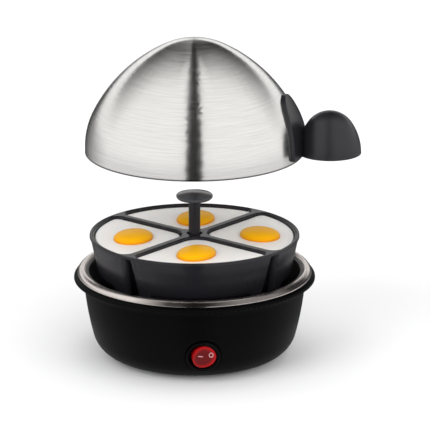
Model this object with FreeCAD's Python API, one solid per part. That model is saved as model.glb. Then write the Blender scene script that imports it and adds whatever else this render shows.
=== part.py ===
import FreeCAD, Part
import math
import os

from FreeCAD import Placement, Rotation, Vector

# Electric egg cooker with a poaching tray, shown opened: the tray and the lid are lifted over the base.
# Millimetres and degrees. The origin is on the cooker's axis at the table, +Z up. The switch is at the
# front, towards -Y. The lid's handle points towards +X and is turned a little to the front.

# Clearances
SEAT_GAP = 0.3
ASSEMBLY_GAP = 0.1
RUNNING_GAP = 0.05
THREAD_GAP = 0.05

# Heights of the base over the table
COVER_Z = 2.0
BOWL_FLOOR_Z = 38.0
LIP_UNDERSIDE_Z = 54.5
HOUSING_SEAT_Z = 58.0
BOWL_RIM_Z = 62.0

# Housing: a moulded shell with a rounded lip, open at the bottom
HOUSING_WALL = 2.4
WALL_TOP_RADIUS = 75.4
WALL_TOP_LEAN = 4.0
WALL_FOOT_LEAN = 15.0
FOOT_ROUNDING = 19.0
LIP_MARGIN = 2.4
LIP_NOSE_ROUNDING = 2.6
LIP_EDGE_ROUNDING = 0.8
FLANGE_MARGIN = 5.0
FLANGE_THICKNESS = 2.4
BOSS_RADIUS = 3.6
BOSS_HEIGHT = 8.4
POST_RADIUS = 4.2

# Bottom cover, its screws and the anti-slip ring
COVER_LAP = 3.1
COVER_SCREW_MARGIN = 5.7
COVER_THICKNESS = 2.2
COVER_SCREW_COUNT = 4
SCREW_RADIUS = 1.45
SCREW_LENGTH = 9.5
SCREW_HEAD_RADIUS = 2.8
SCREW_HEAD_HEIGHT = 1.5
FOOT_RING_MARGIN = 8.0
FOOT_RING_WIDTH = 6.0
FOOT_RING_INSET = 1.0
FOOT_RING_ROUNDING = 0.6

# Heating bowl: drawn steel with a rolled rim, a ledge for the lid and a welded stud
BOWL_WALL = 1.0
BOWL_TAPER = 6.2
BOWL_FLOOR_ROUNDING = 4.0
LEDGE_DEPTH = 1.5
LEDGE_WIDTH = 2.5
LEDGE_EDGE_ROUNDING = 1.2
LEDGE_CORNER_ROUNDING = 0.5
RIM_INSET = 1.1
RIM_WIDTH = 5.3
RIM_INNER_ROUNDING = 1.3
RIM_OUTER_ROUNDING = 3.4
RIM_EDGE_GAP = 0.4
GASKET_WIDTH = 1.7
STUD_RADIUS = 3.0
STUD_LENGTH = 22.0

# Heater under the bowl
HEAT_PLATE_MARGIN = 14.0
HEAT_PLATE_THICKNESS = 4.0
HEATER_MARGIN = 10.0
ELEMENT_TUBE_RADIUS = 3.3
ELEMENT_GAP_AZIMUTH = 135.0
ELEMENT_GAP_HALF_ANGLE = 22.0
ELEMENT_ELBOW = 8.0
ELEMENT_LEG = 4.0
ELEMENT_PIN_RADIUS = 1.2
ELEMENT_PIN_LENGTH = 9.0
INSULATOR_RADIUS = 2.8
INSULATOR_LENGTH = 4.0

# Bridge bar that pulls the bowl down into the housing
BAR_Z = 22.0
BAR_WIDTH = 14.0
BAR_THICKNESS = 2.0
BAR_END_MARGIN = 6.0
BAR_SCREW_RADIUS = 1.7
BAR_SCREW_HEAD_RADIUS = 3.2
BAR_SCREW_HEAD_HEIGHT = 2.2
BAR_SCREW_PROUD = 1.0
NUT_FLATS = 10.0
NUT_HEIGHT = 5.0
EARTH_TAB_RADIUS = 6.0
EARTH_TAB_THICKNESS = 0.8
EARTH_TAB_REACH = 15.0
EARTH_TAB_WIDTH = 6.3
EARTH_TAB_AZIMUTH = -50.0

# Thermostat on the heat plate
THERMOSTAT_PLACE = 0.42
THERMOSTAT_CAP_RADIUS = 8.0
THERMOSTAT_CAP_HEIGHT = 3.0
THERMOSTAT_BODY_RADIUS = 7.2
THERMOSTAT_BODY_HEIGHT = 9.0
THERMOSTAT_SCREW_SPACING = 24.0
BRACKET_LENGTH = 32.0
BRACKET_WIDTH = 15.6
BRACKET_THICKNESS = 1.0
PLATE_SCREW_RADIUS = 1.4
PLATE_SCREW_GRIP = 3.0
PLATE_SCREW_HEAD_RADIUS = 2.6
PLATE_SCREW_HEAD_HEIGHT = 1.8
BLADE_WIDTH = 4.8
BLADE_THICKNESS = 0.8
BLADE_LENGTH = 6.0
THERMOSTAT_BLADE_SPACING = 8.0

# Thermal fuse in its sleeve
FUSE_PLACE = -0.5
FUSE_RADIUS = 2.0
FUSE_LENGTH = 11.0
FUSE_LEAD_RADIUS = 0.6
FUSE_LEAD_SPAN = 33.0
SLEEVE_RADIUS = 3.0
SLEEVE_WALL = 0.8
SLEEVE_LENGTH = 26.0
CLIP_WIDTH = 6.0
CLIP_THICKNESS = 0.8
CLIP_TAB_LENGTH = 8.0

# Rocker switch, a standard round one for a 20 mm hole, square to the leaning wall
SWITCH_Z = 20.5
SWITCH_HOLE_RADIUS = 10.0
SWITCH_RECESS_RADIUS = 12.6
SWITCH_RECESS = 1.5
BEZEL_RADIUS = 11.6
BEZEL_THICKNESS = 1.8
BEZEL_ROUNDING = 0.7
SWITCH_BARREL_DEPTH = 10.0
SWITCH_BARREL_WALL = 0.8
SWITCH_POCKET_DEPTH = 8.6
SWITCH_BOX_WIDTH = 15.0
SWITCH_BOX_HEIGHT = 11.0
SWITCH_BOX_DEPTH = 6.0
SWITCH_BLADE_SPACING = 5.0
ROCKER_RADIUS = 8.1
ROCKER_FACE = 2.0
ROCKER_FACE_RADIUS = 26.0
ROCKER_UNDERSIDE = 3.2
ROCKER_EDGE_ROUNDING = 0.5
ROCKER_TILT = 9.0
PIVOT_DEPTH = 1.6
TRUNNION_RADIUS = 1.2
TRUNNION_GRIP = 0.6
LAMP_RADIUS = 1.6
LAMP_LENGTH = 8.0

# Cord gland at the back
GLAND_Z = 25.0
GLAND_HOLE_RADIUS = 6.0
GLAND_BORE_RADIUS = 3.5
GLAND_RECESS_RADIUS = 9.0
GLAND_RECESS = 0.8
GLAND_FLANGE_RADIUS = 8.2
GLAND_FLANGE_THICKNESS = 2.4
GLAND_TAIL = 8.0
GLAND_NUT_THICKNESS = 3.0

# Terminal block on the bottom cover
BLOCK_X = 16.0
BLOCK_MARGIN = 1.6
BLOCK_WIDTH = 20.5
BLOCK_DEPTH = 12.0
BLOCK_HEIGHT = 10.8
BLOCK_PITCH = 5.0
BLOCK_WAYS = 4
BLOCK_SOCKET_Z = 4.0
BLOCK_SOCKET_DEPTH = 3.5
CLAMP_SCREW_RADIUS = 1.5
CLAMP_SCREW_LENGTH = 4.0

# Inner wires
WIRE_RADIUS = 1.1
WIRE_LEAD = 6.5
WIRE_ROUTE_CELLS = 48

# Poaching tray with four wedge cups round a hub
TRAY_RAISE = 13.6
TRAY_INSET = 2.6
TRAY_DEPTH = 31.0
TRAY_WALL = 1.8
TRAY_FLOOR = 1.8
TRAY_TOP_THICKNESS = 1.8
TRAY_EDGE_ROUNDING = 1.0
TRAY_RIM_WIDTH = 2.8
TRAY_RIM_OVERHANG = 0.35
TRAY_CHAMFER = 0.8
CUP_COUNT = 4
DIVIDER_WIDTH = 5.6
CUP_OUTER_DRAFT = 12.0
CUP_SIDE_DRAFT = 6.0
WELL_CORNER_RADIUS = 6.0
WELL_TIP_RADIUS = 12.0
CUP_CORNER_RADIUS = 4.0
HUB_RADIUS = 7.6
HUB_DEPTH = 10.0
HUB_SINK_RADIUS = 5.5
HUB_SINK_DEPTH = 1.8
TRAY_FOOT_RADIUS = 4.0
TRAY_FOOT_HEIGHT = 3.0
TRAY_FOOT_CIRCLE_RADIUS = 38.0

# Lifter: a stem through the hub with a mushroom cap
STEM_RADIUS = 4.0
STEM_FLANGE_RADIUS = 6.4
STEM_FLANGE_THICKNESS = 1.6
SPIGOT_RADIUS = 2.6
SPIGOT_LENGTH = 2.6
CAP_RADIUS = 12.4
CAP_Z = 24.4
CAP_EDGE_HEIGHT = 2.0
CAP_CROWN_HEIGHT = 2.8
CAP_FOOT_RADIUS = 8.5
CAP_EDGE_ROUNDING = 1.2

# Lid: a domed sheet of three tangent arcs over a short skirt
LID_RAISE = 82.9
LID_PLAY = 0.5
LID_HEIGHT = 78.0
LID_WALL = 0.8
LID_SKIRT = 4.0
SHOULDER_RADIUS = 50.0
SHOULDER_SWEEP = 27.0
CROWN_RADIUS = 48.0
VENT_RADIUS = 3.2
VENT_REACH = 20.0
VENT_AZIMUTH = 151.0

# Lid handle: a plate that hugs the dome and a hollow half-egg knob
HANDLE_TURN = -13.0
HANDLE_FOOT = 2.6
PLATE_THICKNESS = 2.4
PLATE_HALF_WIDTH = 26.4
PLATE_HEIGHT = 39.0
PLATE_SIDE_RADIUS = 50.0
KNOB_STANDOFF = 17.9
KNOB_RADIUS = 21.3
KNOB_HEIGHT = 28.8
KNOB_SIDE_RADIUS = 37.0
KNOB_WALL = 2.2
NECK_HALF_WIDTH = 12.0
NECK_HEIGHT = 10.0
NECK_SIDE_RADIUS = 8.0
HANDLE_SCREW_HEIGHT = 5.4
HANDLE_SCREW_AZIMUTH = 5.0
HANDLE_BOSS_RADIUS = 3.2
HANDLE_BOSS_LENGTH = 7.0
HANDLE_SCREW_RADIUS = 1.7
HANDLE_SCREW_GRIP = 7.0
HANDLE_SCREW_HEAD_RADIUS = 2.9
HANDLE_SCREW_HEAD_HEIGHT = 1.2
WASHER_RADIUS = 3.2
WASHER_THICKNESS = 0.6

# Radii and heights that follow from the sizes above
RIM_INNER_RADIUS = WALL_TOP_RADIUS - RIM_INSET
RIM_OUTER_RADIUS = RIM_INNER_RADIUS + RIM_WIDTH
LIP_RADIUS = RIM_OUTER_RADIUS + LIP_MARGIN
LEDGE_RADIUS = RIM_INNER_RADIUS - LEDGE_WIDTH
BOWL_FLOOR_RADIUS = LEDGE_RADIUS - BOWL_TAPER
LID_RADIUS = RIM_INNER_RADIUS - LID_PLAY
TRAY_RADIUS = LID_RADIUS - TRAY_INSET
KNOB_REACH = LID_RADIUS + KNOB_STANDOFF
COVER_TOP_Z = COVER_Z + COVER_THICKNESS
FLANGE_TOP_Z = COVER_TOP_Z + FLANGE_THICKNESS
LEDGE_Z = BOWL_RIM_Z - LEDGE_DEPTH
BOWL_UNDERSIDE_Z = BOWL_FLOOR_Z - BOWL_WALL
PLATE_UNDERSIDE_Z = BOWL_UNDERSIDE_Z - HEAT_PLATE_THICKNESS
TRAY_SEATED_Z = BOWL_FLOOR_Z + SEAT_GAP + TRAY_FOOT_HEIGHT + TRAY_DEPTH
TRAY_Z = TRAY_SEATED_Z + TRAY_RAISE
LID_Z = LEDGE_Z + SEAT_GAP + LID_RAISE

ORIGIN = Vector(0, 0, 0)
UP = Vector(0, 0, 1)
FRONT_AZIMUTH = -90.0
BACK_AZIMUTH = 90.0
COVER_SCREW_AZIMUTH = 45.0
THROUGH = 200.0


# Shapes that several pieces share

def polar(radius, azimuth, z=0.0):
    angle = math.radians(azimuth)
    return Vector(radius * math.cos(angle), radius * math.sin(angle), z)


def arc(centre, radius, start, end):
    """Arc in the XZ plane, its angles measured from +X towards +Z."""
    angles = [math.radians(a) for a in (start, (start + end) / 2, end)]
    points = [centre + Vector(math.cos(a), 0, math.sin(a)) * radius for a in angles]
    return Part.Arc(*points).toShape()


def line(start, end):
    return Part.makeLine(start, end)


def rounded_path(corners):
    """Edges through (point, radius) corners, each inner corner rounded by its radius."""
    edges = []
    here = corners[0][0]
    for (before, _), (corner, radius), (after, _) in zip(corners, corners[1:], corners[2:]):
        if radius <= 0:
            edges.append(line(here, corner))
            here = corner
            continue
        back = (before - corner).normalize()
        ahead = (after - corner).normalize()
        half = back.getAngle(ahead) / 2
        reach = radius / math.tan(half)
        middle = (back + ahead).normalize() * (radius / math.sin(half) - radius)
        start, end = corner + back * reach, corner + ahead * reach
        if here.distanceToPoint(start) > 1e-6:
            edges.append(line(here, start))
        edges.append(Part.Arc(start, corner + middle, end).toShape())
        here = end
    if here.distanceToPoint(corners[-1][0]) > 1e-6:
        edges.append(line(here, corners[-1][0]))
    return edges


def face_of(edges):
    return Part.Face(Part.Wire(Part.sortEdges(edges)[0]))


def spun(edges, centre=ORIGIN):
    return face_of(edges).revolve(centre, UP, 360)


def spun_outline(*corners):
    """Turned solid from closed (radius, height, rounding) corners. The first and last ones stay sharp."""
    outline = [(Vector(r, 0, z), rounding) for r, z, rounding in corners]
    return spun(rounded_path(outline + [outline[0]]))


def sheet_outline(path, thickness):
    """Closed outline of a bent sheet: (point, radius) corners of one side, its other side to the right."""
    normals = []
    for (start, _), (end, _) in zip(path, path[1:]):
        along = (end - start).normalize()
        normals.append(Vector(along.z, 0, -along.x))
    other = [(path[0][0] + normals[0] * thickness, 0)]
    for (corner, radius), before, after in zip(path[1:-1], normals, normals[1:]):
        shift = (before + after) * (thickness / (1 + before.dot(after)))
        turns_right = before.cross(after).y > 0
        other.append((corner + shift, radius + (-thickness if turns_right else thickness)))
    other.append((path[-1][0] + normals[-1] * thickness, 0))
    return rounded_path(path + other[::-1] + [path[0]])


def cylinder(radius, height, base=ORIGIN, axis=UP):
    return Part.makeCylinder(radius, height, base, axis)


def ring(outer, inner, height, base=ORIGIN):
    return cylinder(outer, height, base).cut(cylinder(inner, height, base))


def block(width, depth, height, base):
    """Box centred on base in X and Y, standing on it."""
    return Part.makeBox(width, depth, height, base - Vector(width / 2, depth / 2, 0))


def dome_profile(centre, across, half_width, height, side_radius):
    """Two tangent arcs from a dome's side, where they stand upright, to its top, where they lie level."""
    span = half_width ** 2 - 2 * half_width * side_radius + height ** 2
    crown_radius = span / (2 * (height - side_radius))
    side, top = centre + across * half_width, centre + UP * height
    side_centre, crown_centre = side - across * side_radius, top - UP * crown_radius
    way = (side_centre - crown_centre).normalize()
    join = crown_centre + way * (crown_radius if crown_radius > side_radius else -crown_radius)
    side_middle = side_centre + (side + join - side_centre * 2).normalize() * side_radius
    crown_middle = crown_centre + (join + top - crown_centre * 2).normalize() * crown_radius
    return [Part.Arc(side, side_middle, join).toShape(), Part.Arc(join, crown_middle, top).toShape()]


def arch_face(half_width, height, side_radius):
    """Upright arch across the handle, standing on the level of its foot."""
    centre, across = UP * HANDLE_FOOT, Vector(0, 1, 0)
    right = dome_profile(centre, across, half_width, height, side_radius)
    left = dome_profile(centre, -across, half_width, height, side_radius)
    return face_of(right + left + [line(centre - across * half_width, centre + across * half_width)])


def wire_tube(points):
    """Insulated wire along straight runs, with each bend as wide as its two runs allow."""
    corners = [(points[0], 0)]
    for before, corner, after in zip(points, points[1:], points[2:]):
        runs = before.distanceToPoint(corner), corner.distanceToPoint(after)
        turn = math.pi - (before - corner).getAngle(after - corner)
        corners.append((corner, 0.45 * min(runs) / math.tan(turn / 2)))
    corners.append((points[-1], 0))
    path = Part.Wire(rounded_path(corners))
    section = Part.Wire(Part.makeCircle(WIRE_RADIUS, points[0], points[1] - points[0]))
    return path.makePipeShell([section], True, False)


# Housing and what closes it

def wall_radius():
    """Radius of the wall's long arc, between the lip and the foot's rounding."""
    foot, top = math.sin(math.radians(WALL_FOOT_LEAN)), math.sin(math.radians(WALL_TOP_LEAN))
    return (LIP_UNDERSIDE_Z - COVER_Z - FOOT_ROUNDING * (1 - foot)) / (foot - top)


def lean_point(centre, radius, lean):
    angle = math.radians(lean)
    return centre + Vector(math.cos(angle), 0, -math.sin(angle)) * radius


def wall_centre():
    return lean_point(Vector(WALL_TOP_RADIUS, 0, LIP_UNDERSIDE_Z), -wall_radius(), WALL_TOP_LEAN)


def foot_centre():
    return lean_point(wall_centre(), wall_radius() - FOOT_ROUNDING, WALL_FOOT_LEAN)


def cover_radius():
    return foot_centre().x + COVER_LAP


def boss_circle():
    """Radius of the circle on which the cover's screws and the bridge bar's screws lie."""
    return cover_radius() - COVER_SCREW_MARGIN


def flange_radius():
    return boss_circle() - FLANGE_MARGIN


def heater_circle():
    return boss_circle() - HEATER_MARGIN


def thermostat_y():
    """Place of the thermostat, as a share of the screws' circle, between the stud and the heater's ring."""
    return THERMOSTAT_PLACE * boss_circle()


def fuse_y():
    return FUSE_PLACE * boss_circle()


def wall_frame(azimuth, z):
    """Placement on the outer wall: local +Z leaves the wall, +X runs level and +Y runs up it."""
    centre = wall_centre()
    lean = math.degrees(math.asin((centre.z - z) / wall_radius()))
    point = lean_point(centre, wall_radius(), lean)
    out = polar(math.cos(math.radians(lean)), azimuth, -math.sin(math.radians(lean)))
    level = UP.cross(out).normalize()
    turn = Rotation(level, out.cross(level), out, "ZXY")
    return Placement(polar(point.x, azimuth, z), turn)


def placed(shape, placement):
    moved = shape.copy()
    moved.Placement = placement.multiply(moved.Placement)
    return moved


def switch_frame():
    return wall_frame(FRONT_AZIMUTH, SWITCH_Z).multiply(Placement(Vector(0, 0, -SWITCH_RECESS), Rotation()))


def gland_frame():
    return wall_frame(BACK_AZIMUTH, GLAND_Z).multiply(Placement(Vector(0, 0, -GLAND_RECESS), Rotation()))


def housing_envelope():
    """Everything inside the outer wall, up to the lip."""
    edges = outer_wall_edges(foot_centre().x)
    bottom, top = edges[-1].Vertexes[-1].Point, Vector(WALL_TOP_RADIUS, 0, LIP_UNDERSIDE_Z)
    low, high = Vector(0, 0, bottom.z), Vector(0, 0, top.z)
    return spun(edges + [line(bottom, low), line(low, high), line(high, top)])


def outer_wall_edges(end_radius):
    """Wall and foot of the housing from the lip down to the given radius."""
    end_lean = math.degrees(math.acos((end_radius - foot_centre().x) / FOOT_ROUNDING))
    return [
        arc(wall_centre(), wall_radius(), -WALL_TOP_LEAN, -WALL_FOOT_LEAN),
        arc(foot_centre(), FOOT_ROUNDING, -WALL_FOOT_LEAN, -end_lean),
    ]


def housing_shell():
    rebate = cover_radius() + ASSEMBLY_GAP
    outer = outer_wall_edges(rebate)
    inner_foot = FOOT_ROUNDING - HOUSING_WALL
    inner_lean = math.degrees(math.asin((foot_centre().z - FLANGE_TOP_Z) / inner_foot))
    inner = [
        arc(wall_centre(), wall_radius() - HOUSING_WALL, -WALL_TOP_LEAN, -WALL_FOOT_LEAN),
        arc(foot_centre(), inner_foot, -WALL_FOOT_LEAN, -inner_lean),
    ]
    seat_inner = inner[0].Vertexes[0].Point
    lip = rounded_path([
        (Vector(WALL_TOP_RADIUS, 0, LIP_UNDERSIDE_Z), 0),
        (Vector(LIP_RADIUS, 0, LIP_UNDERSIDE_Z), LIP_EDGE_ROUNDING),
        (Vector(LIP_RADIUS, 0, HOUSING_SEAT_Z), LIP_NOSE_ROUNDING),
        (Vector(seat_inner.x, 0, HOUSING_SEAT_Z), 0),
        (seat_inner, 0),
    ])
    flange = rounded_path([
        (outer[-1].Vertexes[-1].Point, 0),
        (Vector(rebate, 0, COVER_TOP_Z), 0),
        (Vector(flange_radius(), 0, COVER_TOP_Z), 0),
        (Vector(flange_radius(), 0, FLANGE_TOP_Z), 0),
        (inner[-1].Vertexes[-1].Point, 0),
    ])
    return spun(outer + inner + lip + flange)


def cover_screw_points():
    azimuths = [COVER_SCREW_AZIMUTH + 360 / COVER_SCREW_COUNT * i for i in range(COVER_SCREW_COUNT)]
    return [polar(boss_circle(), azimuth, COVER_Z) for azimuth in azimuths]


def bar_screw_points():
    return [Vector(side * boss_circle(), 0, COVER_TOP_Z) for side in (-1, 1)]


def pilot(point, radius, length):
    return cylinder(radius, length, point)


def housing():
    shell = housing_shell()
    envelope = housing_envelope()
    for frame, radius in ((switch_frame(), SWITCH_RECESS_RADIUS), (gland_frame(), GLAND_RECESS_RADIUS)):
        pad = placed(cylinder(radius + HOUSING_WALL / 2, HOUSING_WALL, UP * -HOUSING_WALL), frame)
        shell = shell.fuse(pad.common(envelope))
    for point in cover_screw_points():
        shell = shell.fuse(cylinder(BOSS_RADIUS, BOSS_HEIGHT, Vector(point.x, point.y, FLANGE_TOP_Z)))
    for point in bar_screw_points():
        shell = shell.fuse(cylinder(POST_RADIUS, BAR_Z - COVER_TOP_Z, point))
    cuts = []
    for point in cover_screw_points():
        cuts.append(pilot(point, SCREW_RADIUS + THREAD_GAP, SCREW_LENGTH + 2 * SEAT_GAP))
    for point in bar_screw_points():
        cuts.append(cylinder(BAR_SCREW_RADIUS + ASSEMBLY_GAP, BAR_Z, point))
        sink = BAR_SCREW_HEAD_HEIGHT + SEAT_GAP
        cuts.append(cylinder(BAR_SCREW_HEAD_RADIUS + ASSEMBLY_GAP, sink, point))
    for frame, recess, hole in (
        (switch_frame(), SWITCH_RECESS_RADIUS, SWITCH_HOLE_RADIUS),
        (gland_frame(), GLAND_RECESS_RADIUS, GLAND_HOLE_RADIUS),
    ):
        cuts.append(placed(cylinder(recess, THROUGH), frame))
        cuts.append(placed(cylinder(hole, 4 * HOUSING_WALL, UP * -2 * HOUSING_WALL), frame))
    return shell.cut(cuts).removeSplitter()


def countersunk(point, gap):
    """Screw standing head down on the point, or with a gap the hole that it needs."""
    head = Part.makeCone(SCREW_HEAD_RADIUS + gap, SCREW_RADIUS + gap, SCREW_HEAD_HEIGHT, point)
    return head.fuse(cylinder(SCREW_RADIUS + gap, SCREW_LENGTH, point)).removeSplitter()


def all_cover_screw_points():
    return cover_screw_points() + [Vector(BLOCK_X, block_y(), COVER_Z)]


def foot_ring_edges():
    middle = boss_circle() - FOOT_RING_MARGIN
    return middle - FOOT_RING_WIDTH / 2, middle + FOOT_RING_WIDTH / 2


def bottom_cover():
    disc = cylinder(cover_radius(), COVER_THICKNESS, UP * COVER_Z)
    inner, outer = foot_ring_edges()
    groove = ring(outer + ASSEMBLY_GAP, inner - ASSEMBLY_GAP, FOOT_RING_INSET, UP * COVER_Z)
    holes = [countersunk(point, ASSEMBLY_GAP) for point in all_cover_screw_points()]
    return disc.cut([groove] + holes)


def foot_ring():
    inner, outer = foot_ring_edges()
    top = COVER_Z + FOOT_RING_INSET
    return spun_outline(
        (inner, top, 0),
        (inner, 0, FOOT_RING_ROUNDING),
        (outer, 0, FOOT_RING_ROUNDING),
        (outer, top, 0),
    )


def cover_screws():
    return Part.Compound([countersunk(point, 0) for point in all_cover_screw_points()])


# Bowl, seal and heater

def rim_edge_z():
    return HOUSING_SEAT_Z + RIM_EDGE_GAP


def heating_bowl():
    path = [
        (Vector(0, 0, BOWL_FLOOR_Z), 0),
        (Vector(BOWL_FLOOR_RADIUS, 0, BOWL_FLOOR_Z), BOWL_FLOOR_ROUNDING),
        (Vector(LEDGE_RADIUS, 0, LEDGE_Z), LEDGE_EDGE_ROUNDING),
        (Vector(RIM_INNER_RADIUS, 0, LEDGE_Z), LEDGE_CORNER_ROUNDING),
        (Vector(RIM_INNER_RADIUS, 0, BOWL_RIM_Z), RIM_INNER_ROUNDING),
        (Vector(RIM_OUTER_RADIUS, 0, BOWL_RIM_Z), RIM_OUTER_ROUNDING),
        (Vector(RIM_OUTER_RADIUS, 0, rim_edge_z()), 0),
    ]
    stud = cylinder(STUD_RADIUS, STUD_LENGTH, UP * (BOWL_UNDERSIDE_Z - STUD_LENGTH))
    return spun(sheet_outline(path, BOWL_WALL)).fuse(stud).removeSplitter()


def rim_gasket():
    inner = RIM_INNER_RADIUS + BOWL_WALL + ASSEMBLY_GAP
    outer = inner + GASKET_WIDTH
    roll = RIM_OUTER_ROUNDING - BOWL_WALL
    roll_z = BOWL_RIM_Z - RIM_OUTER_ROUNDING
    past_roll = max(0.0, outer - (RIM_OUTER_RADIUS - RIM_OUTER_ROUNDING))
    top = roll_z + math.sqrt(roll ** 2 - past_roll ** 2) - ASSEMBLY_GAP
    return ring(outer, inner, top - HOUSING_SEAT_Z, UP * HOUSING_SEAT_Z)


def plate_screw_points():
    """Screws of the thermostat and of the fuse's clip, on the underside of the heat plate."""
    side = THERMOSTAT_SCREW_SPACING / 2
    thermostat = [Vector(x, thermostat_y(), PLATE_UNDERSIDE_Z) for x in (-side, side)]
    return thermostat, Vector(0, fuse_y() + clip_screw_reach(), PLATE_UNDERSIDE_Z)


def clip_screw_reach():
    return SLEEVE_RADIUS + ASSEMBLY_GAP + CLIP_THICKNESS + CLIP_TAB_LENGTH / 2


def heat_plate():
    plate = cylinder(heater_circle() + HEAT_PLATE_MARGIN, HEAT_PLATE_THICKNESS, UP * PLATE_UNDERSIDE_Z)
    groove = Part.makeTorus(heater_circle(), ELEMENT_TUBE_RADIUS + ASSEMBLY_GAP, UP * PLATE_UNDERSIDE_Z)
    stud_hole = cylinder(STUD_RADIUS + ASSEMBLY_GAP, THROUGH)
    thermostat, clip = plate_screw_points()
    grip = PLATE_SCREW_GRIP + SEAT_GAP
    holes = [cylinder(PLATE_SCREW_RADIUS + THREAD_GAP, grip, point) for point in thermostat + [clip]]
    return plate.cut([groove, stud_hole] + holes)


def element_ends():
    """Ring end and the way on from it, for the two ends of the heating tube."""
    ends = []
    for side in (1, -1):
        azimuth = ELEMENT_GAP_AZIMUTH + side * ELEMENT_GAP_HALF_ANGLE
        into_gap = polar(1, azimuth - side * 90)
        ends.append((polar(heater_circle(), azimuth, PLATE_UNDERSIDE_Z), into_gap))
    return ends


def element_leg_point(end):
    """Lower end of one upright leg of the heating tube."""
    point, into_gap = end
    return point + into_gap * ELEMENT_ELBOW - UP * (ELEMENT_ELBOW + ELEMENT_LEG)


def heating_element():
    edges = []
    for point, into_gap in element_ends():
        leg = element_leg_point((point, into_gap))
        knee = leg + UP * ELEMENT_LEG
        middle = point - UP * ELEMENT_ELBOW + (into_gap + UP).normalize() * ELEMENT_ELBOW
        edges.append([line(leg, knee), Part.Arc(knee, middle, point).toShape()])
    far = polar(heater_circle(), ELEMENT_GAP_AZIMUTH + 180, PLATE_UNDERSIDE_Z)
    first, last = (point for point, _ in element_ends())
    path = Part.Wire(edges[0] + [Part.Arc(first, far, last).toShape()] + edges[1][::-1])
    leg = element_leg_point(element_ends()[0])
    section = Part.Wire(Part.makeCircle(ELEMENT_TUBE_RADIUS, leg, UP))
    return path.makePipeShell([section], True, False)


def element_insulators():
    beads = []
    for end in element_ends():
        base = element_leg_point(end) - UP * INSULATOR_LENGTH
        beads.append(ring(INSULATOR_RADIUS, ELEMENT_PIN_RADIUS + ASSEMBLY_GAP, INSULATOR_LENGTH, base))
    return Part.Compound(beads)


def element_pin_end(end):
    return element_leg_point(end) - UP * ELEMENT_PIN_LENGTH


def element_pins():
    pins = [cylinder(ELEMENT_PIN_RADIUS, ELEMENT_PIN_LENGTH, element_pin_end(end)) for end in element_ends()]
    return Part.Compound(pins)


def bridge_bar():
    length = 2 * (boss_circle() + BAR_END_MARGIN)
    bar = block(length, BAR_WIDTH, BAR_THICKNESS, UP * BAR_Z)
    holes = [cylinder(BAR_SCREW_RADIUS + THREAD_GAP, THROUGH, point) for point in bar_screw_points()]
    return bar.cut(holes + [cylinder(STUD_RADIUS + ASSEMBLY_GAP, THROUGH)])


def bridge_screws():
    screws = []
    for point in bar_screw_points():
        foot = point + UP * SEAT_GAP
        top = BAR_Z + BAR_THICKNESS + BAR_SCREW_PROUD
        head = cylinder(BAR_SCREW_HEAD_RADIUS, BAR_SCREW_HEAD_HEIGHT, foot)
        screws.append(head.fuse(cylinder(BAR_SCREW_RADIUS, top - foot.z, foot)).removeSplitter())
    return Part.Compound(screws)


def hex_nut(base):
    corner = NUT_FLATS / math.sqrt(3)
    points = [base + polar(corner, 60 * i) for i in range(7)]
    prism = Part.Face(Part.makePolygon(points)).extrude(UP * NUT_HEIGHT)
    return prism.cut(cylinder(STUD_RADIUS + THREAD_GAP, NUT_HEIGHT, base))


def earth_tab_z():
    return BAR_Z - EARTH_TAB_THICKNESS


def stud_nuts():
    """One nut holds the heat plate to the bowl, and one pulls the stud down through the bridge bar."""
    return Part.Compound([
        hex_nut(UP * (PLATE_UNDERSIDE_Z - NUT_HEIGHT)),
        hex_nut(UP * (earth_tab_z() - NUT_HEIGHT)),
    ])


def earth_tab():
    base = UP * earth_tab_z()
    middle = base + Vector(EARTH_TAB_REACH / 2, 0, 0)
    tongue = block(EARTH_TAB_REACH, EARTH_TAB_WIDTH, EARTH_TAB_THICKNESS, middle)
    tongue.rotate(ORIGIN, UP, EARTH_TAB_AZIMUTH)
    eye = cylinder(EARTH_TAB_RADIUS, EARTH_TAB_THICKNESS, base)
    hole = cylinder(STUD_RADIUS + ASSEMBLY_GAP, EARTH_TAB_THICKNESS, base)
    return eye.fuse(tongue).cut(hole).removeSplitter()


# Thermostat and fuse

def thermostat_bottom_z():
    return PLATE_UNDERSIDE_Z - THERMOSTAT_CAP_HEIGHT - THERMOSTAT_BODY_HEIGHT


def thermostat():
    body_at = Vector(0, thermostat_y(), thermostat_bottom_z())
    body = cylinder(THERMOSTAT_BODY_RADIUS, THERMOSTAT_BODY_HEIGHT, body_at)
    cap = cylinder(THERMOSTAT_CAP_RADIUS, THERMOSTAT_CAP_HEIGHT, body_at + UP * THERMOSTAT_BODY_HEIGHT)
    return cap.fuse(body).removeSplitter()


def thermostat_bracket():
    z = PLATE_UNDERSIDE_Z - THERMOSTAT_CAP_HEIGHT - BRACKET_THICKNESS
    at = Vector(0, thermostat_y(), z)
    strap = block(BRACKET_LENGTH, BRACKET_WIDTH, BRACKET_THICKNESS, at)
    points, _ = plate_screw_points()
    holes = [cylinder(PLATE_SCREW_RADIUS + ASSEMBLY_GAP, THROUGH, point - UP * point.z) for point in points]
    waist = cylinder(THERMOSTAT_BODY_RADIUS + ASSEMBLY_GAP, BRACKET_THICKNESS, at)
    return strap.cut(holes + [waist])


def plate_screw(point, stack):
    """Screw up into the heat plate, with its head under a stack of the given height."""
    foot = point - UP * stack
    shank = cylinder(PLATE_SCREW_RADIUS, stack + PLATE_SCREW_GRIP, foot)
    head = cylinder(PLATE_SCREW_HEAD_RADIUS, PLATE_SCREW_HEAD_HEIGHT, foot - UP * PLATE_SCREW_HEAD_HEIGHT)
    return shank.fuse(head).removeSplitter()


def thermostat_screws():
    points, _ = plate_screw_points()
    stack = THERMOSTAT_CAP_HEIGHT + BRACKET_THICKNESS
    return Part.Compound([plate_screw(point, stack) for point in points])


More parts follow.
